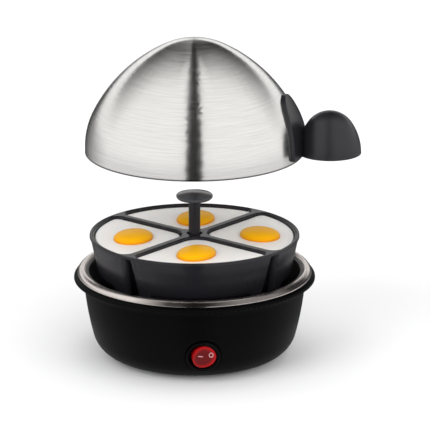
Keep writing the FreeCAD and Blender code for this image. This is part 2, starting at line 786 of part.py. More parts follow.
def thermostat_blade_points():
    side = THERMOSTAT_BLADE_SPACING / 2
    return [Vector(x, thermostat_y(), thermostat_bottom_z() - BLADE_LENGTH) for x in (-side, side)]


def thermostat_blades():
    blades = [block(BLADE_THICKNESS, BLADE_WIDTH, BLADE_LENGTH, point) for point in thermostat_blade_points()]
    return Part.Compound(blades)


def fuse_axis_z():
    return PLATE_UNDERSIDE_Z - ASSEMBLY_GAP - SLEEVE_RADIUS


def along_fuse(radius, length):
    return cylinder(radius, length, Vector(-length / 2, fuse_y(), fuse_axis_z()), Vector(1, 0, 0))


def thermal_fuse():
    body = along_fuse(FUSE_RADIUS, FUSE_LENGTH)
    return body.fuse(along_fuse(FUSE_LEAD_RADIUS, FUSE_LEAD_SPAN)).removeSplitter()


def fuse_sleeve():
    outside = along_fuse(SLEEVE_RADIUS, SLEEVE_LENGTH)
    return outside.cut(along_fuse(SLEEVE_RADIUS - SLEEVE_WALL, SLEEVE_LENGTH))


def fuse_clip():
    inner = SLEEVE_RADIUS + ASSEMBLY_GAP
    outer = inner + CLIP_THICKNESS
    hoop = along_fuse(outer, CLIP_WIDTH).cut(along_fuse(inner, CLIP_WIDTH))
    below = block(CLIP_WIDTH, 2 * outer, outer, Vector(0, fuse_y(), fuse_axis_z() - outer))
    axis, aside = Vector(0, fuse_y(), fuse_axis_z()), Vector(0, inner + CLIP_THICKNESS / 2, 0)
    rise = PLATE_UNDERSIDE_Z - axis.z
    legs = [block(CLIP_WIDTH, CLIP_THICKNESS, rise, axis + way) for way in (-aside, aside)]
    tab_length = CLIP_TAB_LENGTH + CLIP_THICKNESS
    tab_at = Vector(0, fuse_y() + inner + tab_length / 2, PLATE_UNDERSIDE_Z - CLIP_THICKNESS)
    tab = block(CLIP_WIDTH, tab_length, CLIP_THICKNESS, tab_at)
    _, screw = plate_screw_points()
    hole = cylinder(PLATE_SCREW_RADIUS + ASSEMBLY_GAP, THROUGH, Vector(screw.x, screw.y, 0))
    return hoop.common(below).fuse(legs + [tab]).cut(hole).removeSplitter()


def fuse_screw():
    _, point = plate_screw_points()
    return plate_screw(point, CLIP_THICKNESS)


# Switch and gland

def switch_bottom():
    return SWITCH_BARREL_DEPTH + SWITCH_BOX_DEPTH


def switch_body():
    barrel_radius = SWITCH_HOLE_RADIUS - ASSEMBLY_GAP
    shape = spun_outline(
        (0, -SWITCH_BARREL_DEPTH, 0),
        (barrel_radius, -SWITCH_BARREL_DEPTH, 0),
        (barrel_radius, 0, 0),
        (BEZEL_RADIUS, 0, 0),
        (BEZEL_RADIUS, BEZEL_THICKNESS, BEZEL_ROUNDING),
        (0, BEZEL_THICKNESS, 0),
    )
    base = UP * -switch_bottom()
    shape = shape.fuse(block(SWITCH_BOX_WIDTH, SWITCH_BOX_HEIGHT, SWITCH_BOX_DEPTH, base))
    pocket = cylinder(barrel_radius - SWITCH_BARREL_WALL, THROUGH, UP * -SWITCH_POCKET_DEPTH)
    bores = trunnion(TRUNNION_RADIUS + RUNNING_GAP, barrel_radius)
    return placed(shape.cut([pocket, bores]).removeSplitter(), switch_frame())


def trunnion(radius, reach):
    return cylinder(radius, 2 * reach, Vector(0, -reach, -PIVOT_DEPTH), Vector(0, 1, 0))


def rocker():
    top = ROCKER_FACE + ROCKER_RADIUS
    body = cylinder(ROCKER_RADIUS, top + ROCKER_UNDERSIDE, UP * -ROCKER_UNDERSIDE)
    hollow_centre = Vector(0, -ROCKER_RADIUS * 2, ROCKER_FACE + ROCKER_FACE_RADIUS)
    body = body.cut(cylinder(ROCKER_FACE_RADIUS, ROCKER_RADIUS * 4, hollow_centre, Vector(0, 1, 0)))
    rim = [e for e in body.Edges if e.BoundBox.ZMin > 0 and e.BoundBox.XLength > ROCKER_RADIUS]
    body = body.makeFillet(ROCKER_EDGE_ROUNDING, rim)
    pocket_radius = SWITCH_HOLE_RADIUS - ASSEMBLY_GAP - SWITCH_BARREL_WALL
    shape = body.fuse(trunnion(TRUNNION_RADIUS, pocket_radius + TRUNNION_GRIP)).removeSplitter()
    shape.rotate(UP * -PIVOT_DEPTH, Vector(0, 1, 0), ROCKER_TILT)
    return placed(shape, switch_frame())


def switch_lamp():
    floor = UP * (LAMP_RADIUS + ASSEMBLY_GAP - SWITCH_POCKET_DEPTH)
    straight = LAMP_LENGTH - 2 * LAMP_RADIUS
    glass = cylinder(LAMP_RADIUS, straight, floor - Vector(straight / 2, 0, 0), Vector(1, 0, 0))
    ends = [Part.makeSphere(LAMP_RADIUS, floor + Vector(side * straight / 2, 0, 0)) for side in (-1, 1)]
    return placed(glass.fuse(ends).removeSplitter(), switch_frame())


def switch_blade_ends():
    """Inner ends of the three blades, and the way on from them."""
    frame = switch_frame()
    depth = -switch_bottom() - BLADE_LENGTH
    ends = [frame.multVec(Vector(i * SWITCH_BLADE_SPACING, 0, depth)) for i in (-1, 0, 1)]
    return ends, frame.Rotation.multVec(-UP)


def switch_blades():
    base = UP * (-switch_bottom() - BLADE_LENGTH)
    blades = [
        block(BLADE_THICKNESS, BLADE_WIDTH, BLADE_LENGTH, base + Vector(i * SWITCH_BLADE_SPACING, 0, 0))
        for i in (-1, 0, 1)
    ]
    return Part.Compound([placed(blade, switch_frame()) for blade in blades])


def cord_gland():
    neck = GLAND_HOLE_RADIUS - ASSEMBLY_GAP
    shape = spun_outline(
        (GLAND_BORE_RADIUS, -GLAND_TAIL, 0),
        (neck, -GLAND_TAIL, 0),
        (neck, 0, 0),
        (GLAND_FLANGE_RADIUS, 0, 0),
        (GLAND_FLANGE_RADIUS, GLAND_FLANGE_THICKNESS, BEZEL_ROUNDING),
        (GLAND_BORE_RADIUS, GLAND_FLANGE_THICKNESS, 0),
    )
    return placed(shape, gland_frame())


def gland_nut():
    base = UP * (-HOUSING_WALL - GLAND_NUT_THICKNESS)
    return placed(ring(GLAND_FLANGE_RADIUS, GLAND_HOLE_RADIUS, GLAND_NUT_THICKNESS, base), gland_frame())


# Terminal block and inner wires

def block_y():
    """Place of the terminal block: its outer corner keeps clear of the housing's flange."""
    corner_x = BLOCK_X + BLOCK_WIDTH / 2
    return math.sqrt((flange_radius() - BLOCK_MARGIN) ** 2 - corner_x ** 2) - BLOCK_DEPTH / 2


def block_way_x(way):
    return BLOCK_X + (way - (BLOCK_WAYS - 1) / 2) * BLOCK_PITCH


def block_socket_point(way):
    """Bottom of one front socket of the terminal block."""
    front = block_y() - BLOCK_DEPTH / 2
    return Vector(block_way_x(way), front + BLOCK_SOCKET_DEPTH, COVER_TOP_Z + BLOCK_SOCKET_Z)


def clamp_screw_foot(way):
    socket = block_socket_point(way)
    return Vector(socket.x, socket.y, COVER_TOP_Z + BLOCK_HEIGHT - CLAMP_SCREW_LENGTH)


def terminal_block():
    body = block(BLOCK_WIDTH, BLOCK_DEPTH, BLOCK_HEIGHT, Vector(BLOCK_X, block_y(), COVER_TOP_Z))
    cuts = [cylinder(SCREW_RADIUS + THREAD_GAP, SCREW_LENGTH + SEAT_GAP, Vector(BLOCK_X, block_y(), COVER_Z))]
    for way in range(BLOCK_WAYS):
        socket = block_socket_point(way)
        cuts.append(cylinder(WIRE_RADIUS + ASSEMBLY_GAP, BLOCK_SOCKET_DEPTH, socket, Vector(0, -1, 0)))
        back = socket + Vector(0, BLOCK_DEPTH - 2 * BLOCK_SOCKET_DEPTH, 0)
        cuts.append(cylinder(WIRE_RADIUS + ASSEMBLY_GAP, BLOCK_SOCKET_DEPTH, back, Vector(0, 1, 0)))
        cuts.append(cylinder(CLAMP_SCREW_RADIUS + THREAD_GAP, CLAMP_SCREW_LENGTH, clamp_screw_foot(way)))
    return body.cut(cuts)


def clamp_screws():
    screws = []
    for way in range(BLOCK_WAYS):
        foot = clamp_screw_foot(way)
        screw = cylinder(CLAMP_SCREW_RADIUS, CLAMP_SCREW_LENGTH - ASSEMBLY_GAP, foot)
        slot_at = foot + UP * (CLAMP_SCREW_LENGTH - BLADE_THICKNESS)
        screws.append(screw.cut(block(BLADE_THICKNESS, 4 * CLAMP_SCREW_RADIUS, BLADE_THICKNESS, slot_at)))
    return Part.Compound(screws)


def inner_wires():
    """Wires between the terminals, which each leaves straight. Between them it runs low over the cover."""
    (load_blade, lamp_blade, live_blade), inwards = switch_blade_ends()
    stat_left, stat_right = thermostat_blade_points()
    pin_left, pin_back = (element_pin_end(end) for end in element_ends())
    lead = Vector(FUSE_LEAD_SPAN / 2, 0, 0)
    fuse_left, fuse_right = (Vector(0, fuse_y(), fuse_axis_z()) + side for side in (-lead, lead))
    tab_end = polar(EARTH_TAB_REACH, EARTH_TAB_AZIMUTH, earth_tab_z() + EARTH_TAB_THICKNESS / 2)
    out = Vector(0, -1, 0)
    sideways = Vector(1, 0, 0)
    ends = {
        "wire_live": (live_blade, inwards, block_socket_point(2), out),
        "wire_lamp": (lamp_blade, inwards, block_socket_point(1), out),
        "wire_load": (load_blade, inwards, stat_left, -UP),
        "wire_fuse": (stat_right, -UP, fuse_right, sideways),
        "wire_element": (fuse_left, -sideways, pin_left, -UP),
        "wire_neutral": (pin_back, -UP, block_socket_point(0), out),
        "wire_earth": (tab_end, polar(1, EARTH_TAB_AZIMUTH), block_socket_point(3), out),
    }
    routes = {
        "wire_live": [Vector(13, -31, 18), Vector(19, -16, 10), Vector(18, 4, 8)],
        "wire_lamp": [Vector(3, -30, 17), Vector(10, -14, 10), Vector(13, 4, 8)],
        "wire_load": [Vector(-9, -30, 17), Vector(-8, -10, 10), Vector(-5, 8, 8)],
        "wire_fuse": [Vector(7, 6, 13), Vector(16, -10, 16), Vector(24, -19, 24)],
        "wire_element": [Vector(-25, -19, 24), Vector(-27, -6, 13), Vector(-31, 10, 8)],
        "wire_neutral": [Vector(-10, 27, 6), Vector(2, 17, 6)],
        "wire_earth": [Vector(22, -18, 17), Vector(28, -4, 10), Vector(25, 8, 8)],
    }
    wires = {}
    for name, (start, start_way, end, end_way) in ends.items():
        route = [point * (boss_circle() / WIRE_ROUTE_CELLS) for point in routes[name]]
        leads = start + start_way * WIRE_LEAD, end + end_way * WIRE_LEAD
        wires[name] = wire_tube([start, leads[0]] + route + [leads[1], end])
    return wires


# Poaching tray and its lifter

def wedge_outline(radius, gap, corner, tip, z):
    """Rounded quarter sector about +X: its sides lie the given gap from the dividers' middle planes."""
    half = math.pi / CUP_COUNT
    along = Vector(math.cos(half), math.sin(half), 0)
    inwards = Vector(math.sin(half), -math.cos(half), 0)
    reach = math.sqrt((radius - corner) ** 2 - (gap + corner) ** 2)
    corner_centre = along * reach + inwards * (gap + corner)
    outer_point = corner_centre * (radius / (radius - corner))
    side_outer = corner_centre - inwards * corner
    corner_middle = corner_centre + (outer_point + side_outer - corner_centre * 2).normalize() * corner
    tip_centre = Vector((gap + tip) / math.sin(half), 0, 0)
    side_inner = tip_centre - inwards * tip

    def flip(point):
        return Vector(point.x, -point.y, 0)

    edges = [
        Part.Arc(flip(outer_point), Vector(radius, 0, 0), outer_point).toShape(),
        Part.Arc(outer_point, corner_middle, side_outer).toShape(),
        line(side_outer, side_inner),
        Part.Arc(side_inner, tip_centre - Vector(tip, 0, 0), flip(side_inner)).toShape(),
        line(flip(side_inner), flip(side_outer)),
        Part.Arc(flip(side_outer), flip(corner_middle), flip(outer_point)).toShape(),
    ]
    wire = Part.Wire(edges)
    wire.translate(UP * z)
    return wire


def drafted_wedge(radius, gap, corner, tip, top, bottom):
    """Wedge that narrows downwards by the drafts of the outer wall and of the sides."""
    fall = top - bottom
    lower_radius = radius - fall * math.tan(math.radians(CUP_OUTER_DRAFT))
    lower_gap = gap + fall * math.tan(math.radians(CUP_SIDE_DRAFT))
    upper = wedge_outline(radius, gap, corner, tip, top)
    lower = wedge_outline(lower_radius, lower_gap, corner, tip, bottom)
    return Part.makeLoft([upper, lower], True, True)


def cup_turned(shape, cup):
    turned = shape.copy()
    turned.rotate(ORIGIN, UP, 360 / CUP_COUNT * cup)
    return turned


def poaching_tray():
    rim = spun_outline(
        (0, -TRAY_TOP_THICKNESS, 0),
        (TRAY_RADIUS, -TRAY_TOP_THICKNESS, 0),
        (TRAY_RADIUS, 0, TRAY_EDGE_ROUNDING),
        (0, 0, 0),
    )
    well_gap = DIVIDER_WIDTH / 2
    well_radius = TRAY_RADIUS - TRAY_RIM_WIDTH
    cup = drafted_wedge(
        TRAY_RADIUS - TRAY_RIM_OVERHANG, well_gap - TRAY_WALL, CUP_CORNER_RADIUS, WELL_TIP_RADIUS + TRAY_WALL,
        -TRAY_TOP_THICKNESS / 2, -TRAY_DEPTH,
    )
    foot_base = Vector(TRAY_FOOT_CIRCLE_RADIUS, 0, -TRAY_DEPTH - TRAY_FOOT_HEIGHT)
    foot = cylinder(TRAY_FOOT_RADIUS, TRAY_FOOT_HEIGHT + TRAY_FLOOR / 2, foot_base)
    well = drafted_wedge(
        well_radius, well_gap, WELL_CORNER_RADIUS, WELL_TIP_RADIUS,
        0, TRAY_FLOOR - TRAY_DEPTH,
    )
    mouth_upper = wedge_outline(
        well_radius + TRAY_CHAMFER, well_gap - TRAY_CHAMFER,
        WELL_CORNER_RADIUS + TRAY_CHAMFER, WELL_TIP_RADIUS + TRAY_CHAMFER, 0,
    )
    mouth_lower = wedge_outline(
        well_radius - TRAY_CHAMFER, well_gap + TRAY_CHAMFER,
        WELL_CORNER_RADIUS - TRAY_CHAMFER, WELL_TIP_RADIUS - TRAY_CHAMFER, -2 * TRAY_CHAMFER,
    )
    mouth = Part.makeLoft([mouth_upper, mouth_lower], True, True)
    cups = range(CUP_COUNT)
    hub = cylinder(HUB_RADIUS, HUB_DEPTH, UP * -HUB_DEPTH)
    solid = rim.fuse([hub] + [cup_turned(cup.fuse(foot), i) for i in cups])
    hole = cylinder(STEM_RADIUS + ASSEMBLY_GAP, 2 * HUB_DEPTH, UP * -2 * HUB_DEPTH)
    sink = cylinder(HUB_SINK_RADIUS, 2 * HUB_SINK_DEPTH, UP * -HUB_SINK_DEPTH)
    solid = solid.cut([cup_turned(well.fuse(mouth), i) for i in cups] + [hole, sink])
    return placed(solid.removeSplitter(), Placement(UP * TRAY_Z, Rotation()))


def lifter_stem():
    foot = -HUB_DEPTH - ASSEMBLY_GAP - STEM_FLANGE_THICKNESS
    shape = spun_outline(
        (0, foot, 0),
        (STEM_FLANGE_RADIUS, foot, 0),
        (STEM_FLANGE_RADIUS, foot + STEM_FLANGE_THICKNESS, 0),
        (STEM_RADIUS, foot + STEM_FLANGE_THICKNESS, 0),
        (STEM_RADIUS, CAP_Z, 0),
        (SPIGOT_RADIUS, CAP_Z, 0),
        (SPIGOT_RADIUS, CAP_Z + SPIGOT_LENGTH, 0),
        (0, CAP_Z + SPIGOT_LENGTH, 0),
    )
    return placed(shape, Placement(UP * TRAY_Z, Rotation()))


def lifter_cap():
    """Mushroom cap: a flat underside, a belly that rounds up to the widest edge, and a shallow crown."""
    middle, across = UP * (CAP_Z + CAP_EDGE_HEIGHT), Vector(1, 0, 0)
    foot, edge = Vector(CAP_FOOT_RADIUS, 0, CAP_Z), middle + across * CAP_RADIUS
    overhang = CAP_RADIUS - CAP_FOOT_RADIUS
    belly_radius = (overhang ** 2 + CAP_EDGE_HEIGHT ** 2) / (2 * overhang)
    belly_centre = edge - across * belly_radius
    belly_middle = belly_centre + (edge + foot - belly_centre * 2).normalize() * belly_radius
    crown = dome_profile(middle, across, CAP_RADIUS, CAP_CROWN_HEIGHT, CAP_EDGE_ROUNDING)
    edges = crown + [
        Part.Arc(edge, belly_middle, foot).toShape(),
        line(middle + UP * CAP_CROWN_HEIGHT, UP * CAP_Z),
        line(UP * CAP_Z, foot),
    ]
    socket = cylinder(SPIGOT_RADIUS + THREAD_GAP, SPIGOT_LENGTH + ASSEMBLY_GAP, UP * CAP_Z)
    return placed(spun(edges).cut(socket), Placement(UP * TRAY_Z, Rotation()))


# Lid

def lid_arcs():
    """Centre, radius, start and end of the dome's shoulder, flank and crown, from the skirt to the apex."""
    sweep = math.radians(SHOULDER_SWEEP)
    normal = Vector(math.cos(sweep), 0, math.sin(sweep))
    shoulder_centre = Vector(LID_RADIUS - SHOULDER_RADIUS, 0, LID_SKIRT)
    join = shoulder_centre + normal * SHOULDER_RADIUS
    crown_centre = Vector(0, 0, LID_HEIGHT - CROWN_RADIUS)
    across = join - crown_centre
    flank_radius = (across.dot(across) - CROWN_RADIUS ** 2) / (2 * (across.dot(normal) - CROWN_RADIUS))
    flank_centre = join - normal * flank_radius
    meet = crown_centre - flank_centre if flank_radius > CROWN_RADIUS else flank_centre - crown_centre
    meet_angle = math.degrees(math.atan2(meet.z, meet.x))
    return [
        (shoulder_centre, SHOULDER_RADIUS, 0, SHOULDER_SWEEP),
        (flank_centre, flank_radius, SHOULDER_SWEEP, meet_angle),
        (crown_centre, CROWN_RADIUS, meet_angle, 90),
    ]


def dome_edges(offset):
    """Profile of the dome moved outwards by the offset, from the rim to the apex."""
    edges = [arc(centre, radius + offset, start, end) for centre, radius, start, end in lid_arcs()]
    foot = Vector(LID_RADIUS + offset, 0, 0)
    return [line(foot, foot + UP * LID_SKIRT)] + edges


def dome_solid(offset):
    apex, foot = UP * (LID_HEIGHT + offset), Vector(LID_RADIUS + offset, 0, 0)
    return spun(dome_edges(offset) + [line(apex, ORIGIN), line(ORIGIN, foot)])


def on_lid(shape):
    return placed(shape, Placement(UP * LID_Z, Rotation(UP, HANDLE_TURN)))


def lid_dome():
    apex = UP * LID_HEIGHT
    rim = Vector(LID_RADIUS, 0, 0)
    shell = spun(dome_edges(0) + dome_edges(-LID_WALL) + [
        line(apex, apex - UP * LID_WALL),
        line(rim, rim - Vector(LID_WALL, 0, 0)),
    ])
    vent = cylinder(VENT_RADIUS, LID_HEIGHT, polar(VENT_REACH, VENT_AZIMUTH, LID_HEIGHT / 2))
    holes = [handle_screw_bar(HANDLE_SCREW_RADIUS + ASSEMBLY_GAP, side) for side in (-1, 1)]
    return on_lid(shell.cut([vent] + holes))


def screw_lean():
    return math.degrees(math.asin((HANDLE_SCREW_HEIGHT - LID_SKIRT) / SHOULDER_RADIUS))


def screw_frame(side):
    """Placement on the dome's outside, where one handle screw goes through: local +Z leaves the dome."""
    lean = screw_lean()
    shoulder = Vector(LID_RADIUS - SHOULDER_RADIUS, 0, LID_SKIRT)
    point = lean_point(shoulder, SHOULDER_RADIUS, -lean)
    turn = Rotation(UP, side * HANDLE_SCREW_AZIMUTH)
    square = Rotation(Vector(0, 1, 0), 90 - lean)
    return Placement(turn.multVec(point), turn.multiply(square))


def handle_screw_bar(radius, side):
    return placed(cylinder(radius, 4 * HANDLE_SCREW_GRIP, UP * -2 * HANDLE_SCREW_GRIP), screw_frame(side))


def half_egg(inset):
    """Solid half egg of the knob, its surface moved inwards by the inset."""
    centre, across = Vector(KNOB_REACH, 0, HANDLE_FOOT), Vector(1, 0, 0)
    radius, height = KNOB_RADIUS - inset, KNOB_HEIGHT - inset
    profile = dome_profile(centre, across, radius, height, KNOB_SIDE_RADIUS - inset)
    closing = [line(centre + UP * height, centre), line(centre, centre + across * radius)]
    return spun(profile + closing, centre)


def lid_handle():
    reach = Vector(KNOB_REACH, 0, 0)
    skin = dome_solid(PLATE_THICKNESS)
    plate = skin.common(arch_face(PLATE_HALF_WIDTH, PLATE_HEIGHT, PLATE_SIDE_RADIUS).extrude(reach))
    neck = arch_face(NECK_HALF_WIDTH, NECK_HEIGHT, NECK_SIDE_RADIUS).extrude(reach)
    knob = half_egg(0).fuse(neck)
    hollow = half_egg(KNOB_WALL).cut(skin)
    handle = plate.fuse(knob).cut(hollow)
    for side in (-1, 1):
        boss = cylinder(HANDLE_BOSS_RADIUS, PLATE_THICKNESS + HANDLE_BOSS_LENGTH)
        handle = handle.fuse(placed(boss, screw_frame(side)).common(knob))
    holes = [
        placed(cylinder(HANDLE_SCREW_RADIUS + THREAD_GAP, HANDLE_SCREW_GRIP + SEAT_GAP), screw_frame(side))
        for side in (-1, 1)
    ]
    return on_lid(handle.cut([dome_solid(ASSEMBLY_GAP)] + holes).removeSplitter())


def washer_seat():
    """Depth of the washers' outer face: their rim meets the dome's inside, which curves away behind them."""
    inside = LID_RADIUS - LID_WALL
    return LID_WALL + ASSEMBLY_GAP + inside - math.sqrt(inside ** 2 - WASHER_RADIUS ** 2)


def handle_washers():
    washers = []
    for side in (-1, 1):
        base = UP * (-washer_seat() - WASHER_THICKNESS)
        washer = ring(WASHER_RADIUS, HANDLE_SCREW_RADIUS + ASSEMBLY_GAP, WASHER_THICKNESS, base)
        washers.append(on_lid(placed(washer, screw_frame(side))))
    return Part.Compound(washers)


def handle_screws():
    screws = []
    for side in (-1, 1):
        seat = washer_seat() + WASHER_THICKNESS
        head_at = UP * -(seat + HANDLE_SCREW_HEAD_HEIGHT)
        shank = cylinder(HANDLE_SCREW_RADIUS, seat + HANDLE_SCREW_GRIP, UP * -seat)
        head = cylinder(HANDLE_SCREW_HEAD_RADIUS, HANDLE_SCREW_HEAD_HEIGHT, head_at)
        screws.append(on_lid(placed(shank.fuse(head).removeSplitter(), screw_frame(side))))
    return Part.Compound(screws)


PIECES = [
    housing, bottom_cover, foot_ring, cover_screws,
    heating_bowl, rim_gasket, heat_plate, heating_element, element_insulators, element_pins,
    bridge_bar, bridge_screws, stud_nuts, earth_tab,
    thermostat, thermostat_bracket, thermostat_screws, thermostat_blades,
    thermal_fuse, fuse_sleeve, fuse_clip, fuse_screw,
    switch_body, rocker, switch_lamp, switch_blades, cord_gland, gland_nut,
    terminal_block, clamp_screws,
    poaching_tray, lifter_stem, lifter_cap,
    lid_dome, lid_handle, handle_washers, handle_screws,
]

os.makedirs("parts", exist_ok=True)
nodes = {piece.__name__: piece() for piece in PIECES}
nodes.update(inner_wires())
for name, shape in nodes.items():
    shape.exportStep(f"parts/{name}.step")
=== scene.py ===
import math

import bmesh
import bpy
from mathutils import Matrix, Vector


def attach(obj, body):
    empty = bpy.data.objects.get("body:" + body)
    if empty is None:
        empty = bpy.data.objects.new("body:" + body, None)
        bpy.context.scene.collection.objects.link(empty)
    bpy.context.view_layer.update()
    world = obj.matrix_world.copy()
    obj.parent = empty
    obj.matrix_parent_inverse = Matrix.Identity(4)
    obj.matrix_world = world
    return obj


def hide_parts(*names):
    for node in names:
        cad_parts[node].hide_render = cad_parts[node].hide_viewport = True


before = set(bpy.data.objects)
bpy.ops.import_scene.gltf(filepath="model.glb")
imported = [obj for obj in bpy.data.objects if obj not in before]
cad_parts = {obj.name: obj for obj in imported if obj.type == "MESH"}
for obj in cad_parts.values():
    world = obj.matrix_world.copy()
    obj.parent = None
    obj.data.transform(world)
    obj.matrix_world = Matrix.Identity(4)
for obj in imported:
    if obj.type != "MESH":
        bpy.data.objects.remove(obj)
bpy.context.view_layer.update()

# Housing: the black shell of the base, injection moulded in polypropylene in one shot.
# The mould was spark eroded, so the wall has a fine even grain that breaks up every reflection.
# Its rounded lip carries the bowl, and four screws hold the cover from below.
MM = 0.001
SHARP_ANGLE = math.radians(32)
JOIN_REACH = 0.005 * MM
SLIVER = 0.01 * MM


def linear(code):
    """An sRGB hex colour as linear RGBA."""
    shares = [int(code[i:i + 2], 16) / 255 for i in (1, 3, 5)]
    return [s / 12.92 if s <= 0.04045 else ((s + 0.055) / 1.055) ** 2.4 for s in shares] + [1.0]


def add(tree, kind, inputs, **settings):
    """Adds one shader node with its settings, and its inputs as values or as sockets to link."""
    node = tree.nodes.new("ShaderNode" + kind)
    for name, value in settings.items():
        setattr(node, name, value)
    for name, value in inputs.items():
        if isinstance(value, bpy.types.NodeSocket):
            tree.links.new(value, node.inputs[name])
        else:
            node.inputs[name].default_value = value
    return node


def new_material(name, colour, roughness, **sockets):
    """A material with one Principled shader, and the tree and shader to add its pattern to."""
    material = bpy.data.materials.new(name)
    material.use_nodes = True
    shader = material.node_tree.nodes["Principled BSDF"]
    shader.inputs["Base Color"].default_value = linear(colour)
    shader.inputs["Roughness"].default_value = roughness
    for socket, value in sockets.items():
        shader.inputs[socket.replace("_", " ")].default_value = value
    return material, material.node_tree, shader


def place(bm, name, material, body, *stands_for):
    """Puts a finished mesh on its body, softly shaded up to its edges, in place of its CAD nodes."""
    mesh = bpy.data.meshes.new(name)
    bm.to_mesh(mesh)
    bm.free()
    mesh.materials.append(material)
    mesh.shade_smooth()
    mesh.set_sharp_from_angle(angle=SHARP_ANGLE)
    piece = bpy.data.objects.new(name, mesh)
    bpy.context.scene.collection.objects.link(piece)
    even = piece.modifiers.new("even_shading", "WEIGHTED_NORMAL")
    even.keep_sharp = True
    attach(piece, body)
    if stands_for:
        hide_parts(*stands_for)
    return piece


def merged(node):
    """A copy of a CAD node's mesh with its loose triangles joined."""
    bm = bmesh.new()
    bm.from_mesh(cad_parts[node].data)
    bmesh.ops.remove_doubles(bm, verts=bm.verts[:], dist=JOIN_REACH)
    bmesh.ops.dissolve_degenerate(bm, edges=bm.edges[:], dist=SLIVER)
    return bm


# Polypropylene, grained: grit of 0.4 mm in the mould, drawn at 0.7 mm so that it shows.
grained, tree, shader = new_material("polypropylene_grained_black", "#050506", 0.46,
                                     Specular_IOR_Level=0.045)
spot = add(tree, "TexCoord", {})
grain = add(tree, "TexNoise", {"Vector": spot.outputs["Object"], "Scale": 1 / (0.7 * MM), "Detail": 2.0})
relief = add(tree, "Bump", {"Height": grain.outputs["Fac"], "Strength": 0.12, "Distance": 0.05 * MM})
tree.links.new(relief.outputs["Normal"], shader.inputs["Normal"])
place(merged("housing"), "base_housing", grained, "base", "housing")

# Bottom cover, gland and its nut: plain black mouldings that nobody sees in use.
# They are ABS from a vapour-blasted mould, so they are duller than the housing.
dull, tree, shader = new_material("abs_blasted_black", "#131315", 0.6)
spot = add(tree, "TexCoord", {})
grain = add(tree, "TexNoise", {"Vector": spot.outputs["Object"], "Scale": 1 / (1.1 * MM), "Detail": 3.0})
relief = add(tree, "Bump", {"Height": grain.outputs["Fac"], "Strength": 0.2, "Distance": 0.06 * MM})
tree.links.new(relief.outputs["Normal"], shader.inputs["Normal"])


def dress(material, *nodes):
    """Gives CAD nodes whose shape stays their material."""
    for node in nodes:
        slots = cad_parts[node].data.materials
        slots.clear()
        slots.append(material)


dress(dull, "bottom_cover", "cord_gland", "gland_nut")

# Foot ring and rim gasket: black nitrile rubber, one pressed into the cover's groove and one under the rim.
# Moulded rubber is matt, with a faint bloom that lightens it in patches.
rubber, tree, shader = new_material("nitrile_rubber_black", "#121212", 0.75, Specular_IOR_Level=0.3)
spot = add(tree, "TexCoord", {})
bloom = add(tree, "TexNoise", {"Vector": spot.outputs["Object"], "Scale": 1 / (6 * MM), "Detail": 4.0})
shades = add(tree, "ValToRGB", {"Fac": bloom.outputs["Fac"]})
shades.color_ramp.elements[0].color = linear("#101010")
shades.color_ramp.elements[1].color = linear("#1d1d1c")
tree.links.new(shades.outputs["Color"], shader.inputs["Base Color"])
dress(rubber, "foot_ring", "rim_gasket")

# Heating bowl: drawn from stainless sheet in one piece, with a ledge for the lid and a rolled rim.
# The rim is polished, a little warm in tone, with fine marks that run round it from the polishing wheel.
# Inside the rim, the bowl has a dark baked non-stick coat, which hides the steel and has a soft sheen.
# The polishing marks are drawn 0.25 mm wide, coarser than real ones so that they show, and 17 mm long.
MARKS_PER_METRE = 0.06 / MM
MARKS_PER_METRE_UP = 4.0 / MM
COAT_EDGE = 74.0
RIM_STEEL = "#dcd3ce"
COAT = "#2b2928"
COAT_ROUGHNESS = 0.42
polished, tree, shader = new_material("stainless_polished_and_coated", RIM_STEEL, 0.2, Metallic=1.0)
spot = add(tree, "TexCoord", {})
around = add(tree, "Mapping", {"Vector": spot.outputs["Object"],
                               "Scale": (MARKS_PER_METRE, MARKS_PER_METRE, MARKS_PER_METRE_UP)})
marks = add(tree, "TexNoise", {"Vector": around.outputs["Vector"], "Scale": 1.0, "Detail": 3.0})
gloss = add(tree, "MapRange", {"Value": marks.outputs["Fac"], "To Min": 0.16, "To Max": 0.3})
flat = add(tree, "VectorMath", {0: spot.outputs["Object"], 1: (1.0, 1.0, 0.0)}, operation="MULTIPLY")
reach = add(tree, "VectorMath", {0: flat.outputs["Vector"]}, operation="LENGTH")
bare = add(tree, "Math", {0: reach.outputs["Value"], 1: COAT_EDGE * MM}, operation="GREATER_THAN")
colour = add(tree, "Mix", {"Factor": bare.outputs["Value"], "A": linear(COAT), "B": linear(RIM_STEEL)},
             data_type="RGBA")
sheen = add(tree, "Mix", {"Factor": bare.outputs["Value"], "A": COAT_ROUGHNESS, "B": gloss.outputs["Result"]},
            data_type="FLOAT")
tree.links.new(colour.outputs["Result"], shader.inputs["Base Color"])
tree.links.new(bare.outputs["Value"], shader.inputs["Metallic"])
tree.links.new(sheen.outputs["Result"], shader.inputs["Roughness"])
place(merged("heating_bowl"), "steel_bowl", polished, "base", "heating_bowl")

# Zinc-plated steel: the screws, bar, nuts, strap, clip, washers and the heater's sheath.
# Bright plating with a faint blue cast and the soft mottle of its crystals, about 2 mm across.
zinc, tree, shader = new_material("steel_zinc_plated", "#b4b6ba", 0.34, Metallic=1.0)
spot = add(tree, "TexCoord", {})
mottle = add(tree, "TexVoronoi", {"Vector": spot.outputs["Object"], "Scale": 1 / (2 * MM)})
gloss = add(tree, "MapRange", {"Value": mottle.outputs["Distance"], "To Min": 0.26, "To Max": 0.46})
tree.links.new(gloss.outputs["Result"], shader.inputs["Roughness"])
dress(zinc, "cover_screws", "heating_element", "bridge_bar", "bridge_screws", "stud_nuts", "thermostat_bracket",
      "thermostat_screws", "fuse_clip", "fuse_screw", "element_pins", "handle_washers", "handle_screws")

